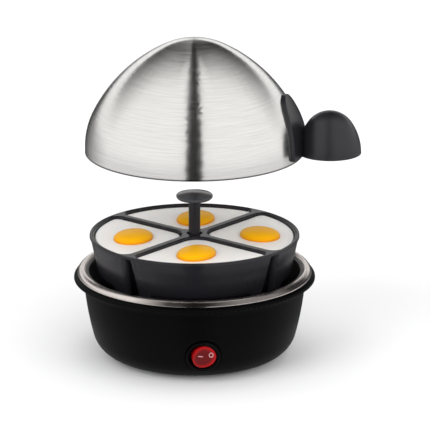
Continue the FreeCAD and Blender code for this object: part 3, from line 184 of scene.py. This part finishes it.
# Heat plate and thermal fuse: aluminium, cast for the plate and drawn for the fuse's can.
# Casting leaves a dull skin with shallow pits of half a millimetre.
cast, tree, shader = new_material("aluminium_cast", "#a6a6a4", 0.5, Metallic=1.0)
spot = add(tree, "TexCoord", {})
pits = add(tree, "TexNoise", {"Vector": spot.outputs["Object"], "Scale": 1 / (0.9 * MM), "Detail": 5.0})
relief = add(tree, "Bump", {"Height": pits.outputs["Fac"], "Strength": 0.35, "Distance": 0.1 * MM})
tree.links.new(relief.outputs["Normal"], shader.inputs["Normal"])
dress(cast, "heat_plate", "thermal_fuse")

# Terminals: blades, earth tab and clamp screws, stamped or turned from brass.
# Brass that has been handled is browner in patches of a few millimetres.
brass, tree, shader = new_material("brass_stamped", "#c8a256", 0.32, Metallic=1.0)
spot = add(tree, "TexCoord", {})
patches = add(tree, "TexNoise", {"Vector": spot.outputs["Object"], "Scale": 1 / (3 * MM), "Detail": 4.0})
shades = add(tree, "ValToRGB", {"Fac": patches.outputs["Fac"]})
shades.color_ramp.elements[0].color = linear("#b48a42")
shades.color_ramp.elements[1].color = linear("#d4b26a")
tree.links.new(shades.outputs["Color"], shader.inputs["Base Color"])
dress(brass, "earth_tab", "thermostat_blades", "switch_blades", "clamp_screws")

# Thermostat case: brown-black bakelite, pressed hot, which the strap holds against the heat plate.
# Its mineral filler shows as fine specks.
bakelite, tree, shader = new_material("bakelite_brown", "#33241e", 0.42)
spot = add(tree, "TexCoord", {})
specks = add(tree, "TexNoise", {"Vector": spot.outputs["Object"], "Scale": 1 / (0.5 * MM), "Detail": 3.0})
shades = add(tree, "ValToRGB", {"Fac": specks.outputs["Fac"]})
shades.color_ramp.elements[0].color = linear("#281b16")
shades.color_ramp.elements[1].color = linear("#473229")
tree.links.new(shades.outputs["Color"], shader.inputs["Base Color"])
dress(bakelite, "thermostat")

# Terminal block: moulded in natural polyamide and screwed to the bottom cover.
# It is milky, and a little yellow where it is thick.
block_nylon, tree, shader = new_material("polyamide_natural", "#dcd8c8", 0.45, Subsurface_Weight=0.2,
                                         Subsurface_Scale=0.002)
spot = add(tree, "TexCoord", {})
cloud = add(tree, "TexNoise", {"Vector": spot.outputs["Object"], "Scale": 1 / (5 * MM), "Detail": 2.0})
shades = add(tree, "ValToRGB", {"Fac": cloud.outputs["Fac"]})
shades.color_ramp.elements[0].color = linear("#d6d1be")
shades.color_ramp.elements[1].color = linear("#e6e3d8")
tree.links.new(shades.outputs["Color"], shader.inputs["Base Color"])
dress(block_nylon, "terminal_block")

# Heater's beads: steatite ceramic, pressed, fired and glazed, one in each end of the heater's tube.
# The glaze is bright, with a few iron specks in it.
glazed, tree, shader = new_material("steatite_glazed", "#e4e0d2", 0.18, Coat_Weight=0.5)
spot = add(tree, "TexCoord", {})
specks = add(tree, "TexVoronoi", {"Vector": spot.outputs["Object"], "Scale": 1 / (1.5 * MM)})
shades = add(tree, "ValToRGB", {"Fac": specks.outputs["Distance"]})
shades.color_ramp.elements[0].color = linear("#b7a98d")
shades.color_ramp.elements[1].position = 0.16
shades.color_ramp.elements[1].color = linear("#e6e2d6")
tree.links.new(shades.outputs["Color"], shader.inputs["Base Color"])
dress(glazed, "element_insulators")

# Fuse sleeve: braided glass fibre, varnished, that the clip holds to the heat plate.
# Its threads are about a millimetre wide and cross at a slant.
braid, tree, shader = new_material("glass_fibre_braid", "#cdc6b0", 0.6)
spot = add(tree, "TexCoord", {})
THREAD_SCALE = 1 / (3.2 * MM)
slant = add(tree, "Mapping", {"Vector": spot.outputs["Object"], "Rotation": (0.0, 0.0, math.radians(45))})
threads = add(tree, "TexWave", {"Vector": slant.outputs["Vector"], "Scale": THREAD_SCALE}, bands_direction="X")
crossing = add(tree, "TexWave", {"Vector": slant.outputs["Vector"], "Scale": THREAD_SCALE}, bands_direction="Y")
weave = add(tree, "Math", {0: threads.outputs["Fac"], 1: crossing.outputs["Fac"]}, operation="MULTIPLY")
relief = add(tree, "Bump", {"Height": weave.outputs["Value"], "Strength": 0.6, "Distance": 0.3 * MM})
tree.links.new(relief.outputs["Normal"], shader.inputs["Normal"])
dress(braid, "fuse_sleeve")

# Inner wires: silicone insulation, extruded, in the colours of mains wiring, with white for the hot side.
# Silicone has a dull bloom that makes it a little uneven.
for name, pale, deep, nodes in (
    ("silicone_white", "#e2dfd6", "#cfcabd", ("wire_load", "wire_fuse", "wire_element")),
    ("silicone_brown", "#6b4630", "#55341f", ("wire_live",)),
    ("silicone_blue", "#3a63a8", "#2b4f92", ("wire_lamp", "wire_neutral")),
    ("silicone_green", "#8aa83a", "#6e9128", ("wire_earth",)),
):
    silicone, tree, shader = new_material(name, pale, 0.5)
    spot = add(tree, "TexCoord", {})
    bloom = add(tree, "TexNoise", {"Vector": spot.outputs["Object"], "Scale": 1 / (4 * MM), "Detail": 3.0})
    shades = add(tree, "ValToRGB", {"Fac": bloom.outputs["Fac"]})
    shades.color_ramp.elements[0].color = linear(deep)
    shades.color_ramp.elements[1].color = linear(pale)
    tree.links.new(shades.outputs["Color"], shader.inputs["Base Color"])
    dress(silicone, *nodes)

# Switch lamp: a small neon tube of drawn soda glass, which stands in the switch behind the rocker.
# The glass is clear, with a trace of smoke from the getter.
lamp_glass, tree, shader = new_material("soda_glass_neon", "#ffd9c0", 0.06, Transmission_Weight=0.9, IOR=1.51)
spot = add(tree, "TexCoord", {})
smoke = add(tree, "TexNoise", {"Vector": spot.outputs["Object"], "Scale": 1 / (2 * MM)})
gloss = add(tree, "MapRange", {"Value": smoke.outputs["Fac"], "To Min": 0.03, "To Max": 0.14})
tree.links.new(gloss.outputs["Result"], shader.inputs["Roughness"])
dress(lamp_glass, "switch_lamp")

# Switch body: the round case, moulded in glossy black polyamide, that snaps into the housing's wall.
# Its bezel is smooth, with the faint flow marks of the moulding.
bezel, tree, shader = new_material("polyamide_gloss_black", "#040405", 0.3, Specular_IOR_Level=0.06)
spot = add(tree, "TexCoord", {})
flow = add(tree, "TexNoise", {"Vector": spot.outputs["Object"], "Scale": 1 / (3 * MM), "Detail": 2.0})
gloss = add(tree, "MapRange", {"Value": flow.outputs["Fac"], "To Min": 0.24, "To Max": 0.38})
tree.links.new(gloss.outputs["Result"], shader.inputs["Roughness"])
place(merged("switch_body"), "switch_case", bezel, "base", "switch_body")

# Rocker: red see-through polycarbonate with a hollow face, which the lamp behind it lights up.
# The two marks are pad printed in white, a dash on the side that is on and a ring on the other.
red_clear, tree, shader = new_material("polycarbonate_red", "#a80d12", 0.25, Specular_IOR_Level=0.15,
                                       Subsurface_Weight=0.15, Subsurface_Scale=0.002)
SWITCH_CENTRE = (0.0, -68.645 * MM, 20.856 * MM)
SWITCH_LEAN = math.radians(103.714)
DASH_CENTRE = (-2.0 * MM, 1.1 * MM, 0.0)
DASH_TURN = math.radians(-15)
DASH_HALF_SIZE = (1.8 * MM, 0.3 * MM, 1.0)
RING_CENTRE = (5.2 * MM, 1.5 * MM, 0.0)
RING_HALF_SIZE = (1.6 * MM, 2.0 * MM, 1.0)
RING_MIDDLE = 0.82
RING_HALF_STROKE = 0.15
HOLLOW_RADIUS = 5.2
FACE_RADIUS = 7.6
spot = add(tree, "TexCoord", {})
face = add(tree, "Mapping", {"Vector": spot.outputs["Object"], "Location": SWITCH_CENTRE,
                             "Rotation": (SWITCH_LEAN, 0.0, 0.0)}, vector_type="TEXTURE")
dash_place = add(tree, "Mapping", {"Vector": face.outputs["Vector"], "Location": DASH_CENTRE,
                                   "Rotation": (0.0, 0.0, DASH_TURN), "Scale": DASH_HALF_SIZE},
                 vector_type="TEXTURE")
dash_sides = add(tree, "SeparateXYZ", {"Vector": dash_place.outputs["Vector"]})
dash_along = add(tree, "Math", {0: dash_sides.outputs["X"]}, operation="ABSOLUTE")
dash_across = add(tree, "Math", {0: dash_sides.outputs["Y"]}, operation="ABSOLUTE")
dash_edge = add(tree, "Math", {0: dash_along.outputs["Value"], 1: dash_across.outputs["Value"]},
                operation="MAXIMUM")
dash = add(tree, "Math", {0: dash_edge.outputs["Value"], 1: 1.0}, operation="LESS_THAN")
ring_place = add(tree, "Mapping", {"Vector": face.outputs["Vector"], "Location": RING_CENTRE,
                                   "Scale": RING_HALF_SIZE}, vector_type="TEXTURE")
ring_flat = add(tree, "VectorMath", {0: ring_place.outputs["Vector"], 1: (1.0, 1.0, 0.0)}, operation="MULTIPLY")
ring_reach = add(tree, "VectorMath", {0: ring_flat.outputs["Vector"]}, operation="LENGTH")
ring = add(tree, "Math", {0: ring_reach.outputs["Value"], 1: RING_MIDDLE, 2: RING_HALF_STROKE},
           operation="COMPARE")
marks = add(tree, "Math", {0: dash.outputs["Value"], 1: ring.outputs["Value"]}, operation="MAXIMUM")
# Painted shade: the hollow middle of the face is painted a deeper red, which lightens out to the rim of the face.
middle = add(tree, "VectorMath", {0: face.outputs["Vector"], 1: (1.0, 1.0, 0.0)}, operation="MULTIPLY")
from_middle = add(tree, "VectorMath", {0: middle.outputs["Vector"]}, operation="LENGTH")
shade_fade = add(tree, "MapRange", {"Value": from_middle.outputs["Value"], "From Min": HOLLOW_RADIUS * MM,
                              "From Max": FACE_RADIUS * MM})
hollow_shade = add(tree, "Mix", {"Factor": shade_fade.outputs["Result"], "A": linear("#5c080b"), "B": linear("#9a0c10")},
            data_type="RGBA")
marked = add(tree, "Mix", {"Factor": marks.outputs["Value"], "A": hollow_shade.outputs["Result"],
                           "B": linear("#c9989c")}, data_type="RGBA")
tree.links.new(marked.outputs["Result"], shader.inputs["Base Color"])
place(merged("rocker"), "red_rocker", red_clear, "rocker", "rocker")

# Poaching tray: one moulding in dark grey polypropylene, with four wedge cups, a hub and four small feet.
# Its mould was blasted, so the walls are matt with an eggshell grain and the edges catch a thin light.
# Wide faces lead its shading, so that the flat tops of the dividers stay flat.
moulded, tree, shader = new_material("polypropylene_dark_grey", "#1b1a1e", 0.27, Specular_IOR_Level=0.32)
spot = add(tree, "TexCoord", {})
grain = add(tree, "TexNoise", {"Vector": spot.outputs["Object"], "Scale": 1 / (0.8 * MM), "Detail": 2.0})
relief = add(tree, "Bump", {"Height": grain.outputs["Fac"], "Strength": 0.08, "Distance": 0.05 * MM})
tree.links.new(relief.outputs["Normal"], shader.inputs["Normal"])
tray = place(merged("poaching_tray"), "cup_tray", moulded, "tray", "poaching_tray")
tray.modifiers["even_shading"].weight = 75
tray.modifiers["even_shading"].thresh = 0.0
place(merged("lifter_stem"), "tray_stem", moulded, "tray", "lifter_stem")

# Lifter cap: the mushroom that the fingers hold, moulded in mid-grey polypropylene and pressed onto the stem.
# It is smoother than the tray, so it has a brighter shine.
cap_grey, tree, shader = new_material("polypropylene_mid_grey", "#3e4147", 0.18)
spot = add(tree, "TexCoord", {})
grain = add(tree, "TexNoise", {"Vector": spot.outputs["Object"], "Scale": 1 / (0.7 * MM), "Detail": 2.0})
relief = add(tree, "Bump", {"Height": grain.outputs["Fac"], "Strength": 0.08, "Distance": 0.05 * MM})
tree.links.new(relief.outputs["Normal"], shader.inputs["Normal"])
place(merged("lifter_cap"), "stem_cap", cap_grey, "tray", "lifter_cap")

# Egg whites: four poached eggs, food and not part of the cooker, that fill the cups to just under the rim.
# Set white is nearly opaque, a little grey, with light that seeps in a few millimetres and a wet skin.
TRAY_TOP = 85.9
WHITE_TOP = TRAY_TOP - 1.8
WHITE_RADIUS = 67.5
WHITE_GAP = 3.3
WHITE_DEPTH = 27.2
WHITE_CORNER = 5.5
WHITE_TIP = 12.0
WHITE_EDGE = 1.0
WHITE_MIDDLE = 41.0
WHITE_FLOOR_SHARE = 0.78

egg_white, tree, shader = new_material("egg_white_set", "#f8f5f2", 0.38, Subsurface_Weight=0.35,
                                       Subsurface_Scale=0.003, Subsurface_Radius=(1.0, 0.8, 0.6))
spot = add(tree, "TexCoord", {})
skin = add(tree, "TexNoise", {"Vector": spot.outputs["Object"], "Scale": 1 / (9 * MM), "Detail": 3.0})
relief = add(tree, "Bump", {"Height": skin.outputs["Fac"], "Strength": 0.12, "Distance": 0.6 * MM})
tree.links.new(relief.outputs["Normal"], shader.inputs["Normal"])

for quarter, side in enumerate(("right", "back", "left", "front")):
    bm = bmesh.new()
    reach = math.radians(45) - math.asin(WHITE_GAP / WHITE_RADIUS)
    first = bm.verts.new(Vector((math.cos(reach), -math.sin(reach), 0)) * WHITE_RADIUS * MM)
    arc = bmesh.ops.spin(bm, geom=[first], axis=(0, 0, 1), cent=(0, 0, 0), angle=2 * reach, steps=24)
    last = [g for g in arc["geom_last"] if isinstance(g, bmesh.types.BMVert)][0]
    tip = bm.verts.new((WHITE_GAP * math.sqrt(2) * MM, 0, 0))
    bm.edges.new((last, tip))
    bm.edges.new((tip, first))
    bmesh.ops.contextual_create(bm, geom=bm.edges[:])
    bmesh.ops.bevel(bm, geom=[first, last], offset=WHITE_CORNER * MM, offset_type="OFFSET", segments=8, profile=0.5,
                    affect="VERTICES", material=-1)
    bmesh.ops.bevel(bm, geom=[tip], offset=WHITE_TIP * MM, offset_type="OFFSET", segments=10, profile=0.5,
                    affect="VERTICES", material=-1)
    bmesh.ops.translate(bm, verts=bm.verts[:], vec=(0, 0, WHITE_TOP * MM))
    walls = bmesh.ops.extrude_face_region(bm, geom=bm.faces[:])
    lower = [g for g in walls["geom"] if isinstance(g, bmesh.types.BMVert)]
    bmesh.ops.translate(bm, verts=lower, vec=(0, 0, -WHITE_DEPTH * MM))
    bmesh.ops.scale(bm, verts=lower, vec=(WHITE_FLOOR_SHARE, WHITE_FLOOR_SHARE, 1.0),
                    space=Matrix.Translation((-WHITE_MIDDLE * MM, 0, 0)))
    bmesh.ops.recalc_face_normals(bm, faces=bm.faces[:])
    rim = [e for e in bm.edges if all(abs(v.co.z - WHITE_TOP * MM) < JOIN_REACH for v in e.verts)]
    bmesh.ops.bevel(bm, geom=rim, offset=WHITE_EDGE * MM, offset_type="OFFSET", segments=4, profile=0.5,
                    affect="EDGES", material=-1)
    bmesh.ops.rotate(bm, verts=bm.verts[:], cent=(0, 0, 0),
                     matrix=Matrix.Rotation(quarter * math.pi / 2, 3, "Z"))
    place(bm, "egg_white_" + side, egg_white, "tray")

# Egg yolks: each stands out of its white as a low dome, a little oval and leaning to one side.
# Set yolk is a deep yellow under a skin that shines, painted a darker orange towards its base as painted shade where
# it meets the white.
YOLK_HEIGHT = 5.4
YOLK_FULLNESS = 0.6
YOLK_SINK = 0.6
YOLK_CUT = 1.5
YOLK_FADE = 4.0

yolk, tree, shader = new_material("egg_yolk_set", "#f3a80a", 0.35, Specular_IOR_Level=0.1, Subsurface_Weight=0.2,
                                  Subsurface_Scale=0.003, Subsurface_Radius=(1.0, 0.5, 0.1))
spot = add(tree, "TexCoord", {})
height = add(tree, "SeparateXYZ", {"Vector": spot.outputs["Object"]})
# Painted shade: darker orange over the lowest 3 mm of the dome above the white.
low = add(tree, "MapRange", {"Value": height.outputs["Z"], "From Min": WHITE_TOP * MM,
                             "From Max": (WHITE_TOP + YOLK_FADE) * MM})
shades = add(tree, "ValToRGB", {"Fac": low.outputs["Result"]})
shades.color_ramp.elements[0].color = linear("#d98404")
shades.color_ramp.elements[1].position = 0.75
shades.color_ramp.elements[1].color = linear("#fbb60c")
tree.links.new(shades.outputs["Color"], shader.inputs["Base Color"])

for side, x, y, turn, along, across in (
    ("left", -41.8, -3.1, -25, 13.0, 16.2),
    ("right", 44.1, -5.0, 22, 13.2, 15.6),
    ("front", -2.5, -44.4, -28, 12.8, 16.2),
    ("back", 3.8, 36.3, -24, 12.8, 15.8),
):
    bm = bmesh.new()
    bmesh.ops.create_uvsphere(bm, u_segments=56, v_segments=32, radius=1.0)
    for point in bm.verts:
        point.co.z = math.copysign(abs(point.co.z) ** YOLK_FULLNESS, point.co.z)
    bmesh.ops.scale(bm, verts=bm.verts[:], vec=(along * MM, across * MM, YOLK_HEIGHT * MM))
    bmesh.ops.bisect_plane(bm, geom=bm.verts[:] + bm.edges[:] + bm.faces[:], plane_co=(0, 0, -YOLK_CUT * MM),
                           plane_no=(0, 0, 1), clear_inner=True)
    rim = [e for e in bm.edges if e.is_boundary]
    bmesh.ops.contextual_create(bm, geom=rim)
    bmesh.ops.recalc_face_normals(bm, faces=bm.faces[:])
    bmesh.ops.transform(bm, verts=bm.verts[:], matrix=Matrix.Translation(Vector((x, y, WHITE_TOP - YOLK_SINK)) * MM)
                        @ Matrix.Rotation(math.radians(turn), 4, "Z"))
    place(bm, "egg_yolk_" + side, yolk, "tray")

# Lid: spun from stainless sheet and brushed while it turned, so its hair lines run round the axis.
# Such lines smear each reflection up and down the dome, into upright bands that narrow to the crown.
# Along its rim the colour is painted dark grey over the lowest 1.4 mm, a painted shade line.
# The hair lines are drawn 0.6 mm wide, coarser than real ones so that they show, and 25 mm long.
HAIRS_PER_METRE = 0.04 / MM
HAIRS_PER_METRE_UP = 1.8 / MM
LID_RIM = 143.7
SHADE_LINE_FROM = 0.6
SHADE_LINE_TO = 1.4
brushed, tree, shader = new_material("stainless_brushed", "#d8d6d2", 0.26, Metallic=1.0, Anisotropic=0.9,
                                     Anisotropic_Rotation=0.25)
spot = add(tree, "TexCoord", {})
lines = add(tree, "Mapping", {"Vector": spot.outputs["Object"],
                              "Scale": (HAIRS_PER_METRE, HAIRS_PER_METRE, HAIRS_PER_METRE_UP)})
hair = add(tree, "TexNoise", {"Vector": lines.outputs["Vector"], "Scale": 1.0, "Detail": 4.0, "Roughness": 0.65})
gloss = add(tree, "MapRange", {"Value": hair.outputs["Fac"], "From Min": 0.3, "From Max": 0.7, "To Min": 0.2,
                               "To Max": 0.26})
shades = add(tree, "ValToRGB", {"Fac": hair.outputs["Fac"]})
shades.color_ramp.elements[0].position = 0.3
shades.color_ramp.elements[0].color = linear("#e2e0dd")
shades.color_ramp.elements[1].position = 0.7
shades.color_ramp.elements[1].color = linear("#f6f4f1")
height = add(tree, "SeparateXYZ", {"Vector": spot.outputs["Object"]})
# Painted shade: the colour turns dark grey towards the rim.
shade_fade = add(tree, "MapRange", {"Value": height.outputs["Z"], "From Min": (LID_RIM + SHADE_LINE_FROM) * MM,
                              "From Max": (LID_RIM + SHADE_LINE_TO) * MM})
rim_shaded = add(tree, "Mix", {"Factor": shade_fade.outputs["Result"], "A": linear("#5d5b5a"), "B": shades.outputs["Color"]},
            data_type="RGBA")
round_axis = add(tree, "Tangent", {}, direction_type="RADIAL", axis="Z")
tree.links.new(gloss.outputs["Result"], shader.inputs["Roughness"])
tree.links.new(rim_shaded.outputs["Result"], shader.inputs["Base Color"])
tree.links.new(round_axis.outputs["Tangent"], shader.inputs["Tangent"])
place(merged("lid_dome"), "steel_lid", brushed, "lid", "lid_dome")

# Lid handle: one moulding in black phenolic, a curved plate against the dome and a hollow half-egg knob.
# It is held by two screws from inside the lid. Its skin is satin and shows broad soft lights.
satin, tree, shader = new_material("phenolic_satin_black", "#17171a", 0.36, Specular_IOR_Level=0.5)
spot = add(tree, "TexCoord", {})
grain = add(tree, "TexNoise", {"Vector": spot.outputs["Object"], "Scale": 1 / (0.6 * MM), "Detail": 2.0})
relief = add(tree, "Bump", {"Height": grain.outputs["Fac"], "Strength": 0.06, "Distance": 0.05 * MM})
tree.links.new(relief.outputs["Normal"], shader.inputs["Normal"])
place(merged("lid_handle"), "half_egg_handle", satin, "lid", "lid_handle")

# Floor: a pale seamless sheet of paper, laid flat and wide enough to reach the horizon.
# It is matt and keeps the cooker's soft shadow, and looks a little lighter where it is seen or mirrored.
FLOOR_HALF = 12.0
FLOOR_LIFT = 0.04


def looked_at(tree):
    """A socket that is one for rays from the camera, in mirrors and through glass."""
    ray = add(tree, "LightPath", {})
    seen = add(tree, "Math", {0: ray.outputs["Is Camera Ray"], 1: ray.outputs["Is Glossy Ray"]}, operation="MAXIMUM")
    seen = add(tree, "Math", {0: seen.outputs["Value"], 1: ray.outputs["Is Transmission Ray"]}, operation="MAXIMUM")
    return seen.outputs["Value"]


paper, tree, shader = new_material("backdrop_paper", "#e7e7e8", 0.9, Specular_IOR_Level=0.0)
lift = add(tree, "Math", {0: looked_at(tree), 1: FLOOR_LIFT}, operation="MULTIPLY")
shader.inputs["Emission Color"].default_value = (1, 1, 1, 1)
tree.links.new(lift.outputs["Value"], shader.inputs["Emission Strength"])
bm = bmesh.new()
bmesh.ops.create_grid(bm, x_segments=1, y_segments=1, size=FLOOR_HALF)
sheet = bpy.data.meshes.new("floor")
bm.to_mesh(sheet)
bm.free()
sheet.materials.append(paper)
floor = bpy.data.objects.new("floor", sheet)
bpy.context.scene.collection.objects.link(floor)

# Studio: white surroundings that light all sides, and four broad soft lamps.
# The lamps aren't mirrored, so the steel shows only the white walls and the flags below.
WALL_LIGHT = 0.7
WALL_SEEN = 1.0
world = bpy.data.worlds.new("studio")
bpy.context.scene.world = world
world.use_nodes = True
tree = world.node_tree
tree.nodes.clear()
level = add(tree, "MapRange", {"Value": looked_at(tree), "To Min": WALL_LIGHT, "To Max": WALL_SEEN})
air = add(tree, "Background", {"Color": (1, 1, 1, 1), "Strength": level.outputs["Result"]})
add(tree, "OutputWorld", {"Surface": air.outputs["Background"]})

for name, comes_from, spread, strength in (
    ("left_softbox", (-1.0, -0.9, 0.9), 40, 1.2),
    ("right_softbox", (1.0, -1.1, 0.8), 40, 0.65),
    ("top_softbox", (0.05, 0.0, 1.0), 50, 0.8),
    ("front_softbox", (0.1, -1.0, 0.45), 30, 0.85),
):
    lamp = bpy.data.lights.new(name, "SUN")
    lamp.angle = math.radians(spread)
    lamp.energy = strength
    holder = bpy.data.objects.new(name, lamp)
    holder.location = comes_from
    holder.rotation_euler = (-Vector(comes_from)).to_track_quat("-Z", "Y").to_euler()
    holder.visible_glossy = False
    bpy.context.scene.collection.objects.link(holder)

# Flags: black cloths and nets on stands, which only mirrors see and which give the steel its dark bands.
# A net's cover changes with the bearing, in degrees to the right of the camera's side.
# One stands behind, one lies on the floor, one hangs over the front and one shades the ring.
AZIMUTH = -5.0
BEHIND = ((-160, 1.0), (-140, 0.8)), ((140, 0.8), (160, 1.0))
flag_cloths = {}
for name, ends, stops in (
    ("flag_cloth", (0.7, 1.0), BEHIND[0] + ((-100, 0.0), (100, 0.0)) + BEHIND[1]),
    ("flag_net", (0.7, 1.0), BEHIND[0] + ((-100, 0.35), (100, 0.35)) + BEHIND[1]),
    ("rim_net", (0.0, 0.0), ((-34, 0.0), (-14, 0.93), (8, 0.97), (24, 0.72), (46, 0.72), (60, 0.96), (78, 0.92),
                             (94, 0.0))),
):
    flag = bpy.data.materials.new(name)
    flag.use_nodes = True
    tree = flag.node_tree
    tree.nodes.clear()
    spot = add(tree, "TexCoord", {})
    facing = add(tree, "Mapping", {"Vector": spot.outputs["Object"],
                                   "Rotation": (0, 0, math.radians(90 - AZIMUTH))})
    bearing = add(tree, "TexGradient", {"Vector": facing.outputs["Vector"]}, gradient_type="RADIAL")
    cover = add(tree, "ValToRGB", {"Fac": bearing.outputs["Fac"]})
    bands = cover.color_ramp.elements
    for element, shade in zip(bands, ends):
        element.color = (shade, shade, shade, 1)
    for degrees, shade in stops:
        bands.new(0.5 + degrees / 360).color = (shade, shade, shade, 1)
    clear = add(tree, "BsdfTransparent", {})
    black = add(tree, "BsdfDiffuse", {"Color": (0.004, 0.004, 0.004, 1)})
    blend = add(tree, "MixShader", {0: cover.outputs["Color"], 1: clear.outputs["BSDF"],
                                    2: black.outputs["BSDF"]})
    add(tree, "OutputMaterial", {"Surface": blend.outputs["Shader"]})
    flag_cloths[name] = flag


def hang(bm, name, cloth):
    """Hangs a flag that only mirrors see."""
    mesh = bpy.data.meshes.new(name)
    bm.to_mesh(mesh)
    bm.free()
    mesh.materials.append(cloth)
    flag = bpy.data.objects.new(name, mesh)
    bpy.context.scene.collection.objects.link(flag)
    flag.visible_camera = False
    flag.visible_shadow = False
    flag.visible_diffuse = False
    flag.visible_transmission = False


FLAG_REACH = 2.0
FLOOR_FLAG_HEIGHT = 0.001
RIM_SHADE = ((83.5, 58.0), (84.5, 60.5), (84.0, 64.0), (82.0, 66.5), (78.5, 67.5))
for name, cloth, runs, steps in (
    ("back_flag", "flag_cloth", (((FLAG_REACH, 0.0), (FLAG_REACH, 0.3)), ((FLAG_REACH, 0.9), (FLAG_REACH, 8.0))), 96),
    ("floor_flag", "flag_net", (((0.1, FLOOR_FLAG_HEIGHT), (FLAG_REACH, FLOOR_FLAG_HEIGHT)),), 96),
    ("rim_flag", "rim_net", ([(radius * MM, z * MM) for radius, z in RIM_SHADE],), 128),
):
    bm = bmesh.new()
    for run in runs:
        profile = [bm.verts.new((radius, 0, z)) for radius, z in run]
        for below, above in zip(profile, profile[1:]):
            bm.edges.new((below, above))
    bmesh.ops.spin(bm, geom=bm.verts[:] + bm.edges[:], cent=(0, 0, 0), axis=(0, 0, 1), angle=2 * math.pi, steps=steps,
                   use_merge=True)
    hang(bm, name, flag_cloths[cloth])

FRONT_RADIUS = 1.9
FRONT_HALF_WIDTH = 0.155
FRONT_ARC = 150
FRONT_LEAST_SHARE = 0.1
STRIP_HEIGHT = 0.002
bm = bmesh.new()
bm.edges.new([bm.verts.new((side * FRONT_HALF_WIDTH, -1.0, 0)) for side in (-1, 1)])
bmesh.ops.spin(bm, geom=bm.verts[:] + bm.edges[:], cent=(0, 0, 0), axis=(-1, 0, 0), angle=math.radians(FRONT_ARC),
               steps=40)
for corner in bm.verts:
    over = math.degrees(math.atan2(corner.co.z, -corner.co.y))
    corner.co.x *= max(FRONT_LEAST_SHARE, 1 - over / 180)
bmesh.ops.scale(bm, verts=bm.verts[:], vec=(FRONT_RADIUS, FRONT_RADIUS, FRONT_RADIUS))
bm.faces.new([bm.verts.new((x, y, STRIP_HEIGHT)) for x, y in (
    (-0.014, -0.1), (0.014, -0.1), (0.26, -1.85), (-0.26, -1.85))])
bmesh.ops.rotate(bm, verts=bm.verts[:], cent=(0, 0, 0), matrix=Matrix.Rotation(math.radians(AZIMUTH), 3, "Z"))
velvet = new_material("flag_velvet", "#0a0a0b", 1.0, Specular_IOR_Level=0.0)[0]
hang(bm, "front_flag", velvet)

# Camera: a long lens from 17 degrees above and a little to the left of the switch.
# It is aimed so that the cooker stands in the square frame as it does in the photograph.
ELEVATION = 16.8
DISTANCE = 3.0
SENSOR = 36.0
FRAME_WIDTH = 0.2924
AIM_HEIGHT = 0.062
AIM_SHIFT = (0.0139, 0.035, 0.0)
camera = bpy.data.cameras.new("camera")
camera.sensor_width = SENSOR
camera.lens = SENSOR * DISTANCE / FRAME_WIDTH
camera.clip_end = 50.0
viewer = bpy.data.objects.new("camera", camera)
bpy.context.scene.collection.objects.link(viewer)
turn = Matrix.Rotation(math.radians(AZIMUTH), 3, "Z") @ Matrix.Rotation(math.radians(90 - ELEVATION), 3, "X")
aim = Vector((0, 0, AIM_HEIGHT)) + turn @ Vector(AIM_SHIFT)
viewer.location = aim + turn @ Vector((0, 0, DISTANCE))
viewer.rotation_euler = turn.to_euler()
bpy.context.scene.camera = viewer
bpy.context.scene.view_settings.view_transform = "Standard"
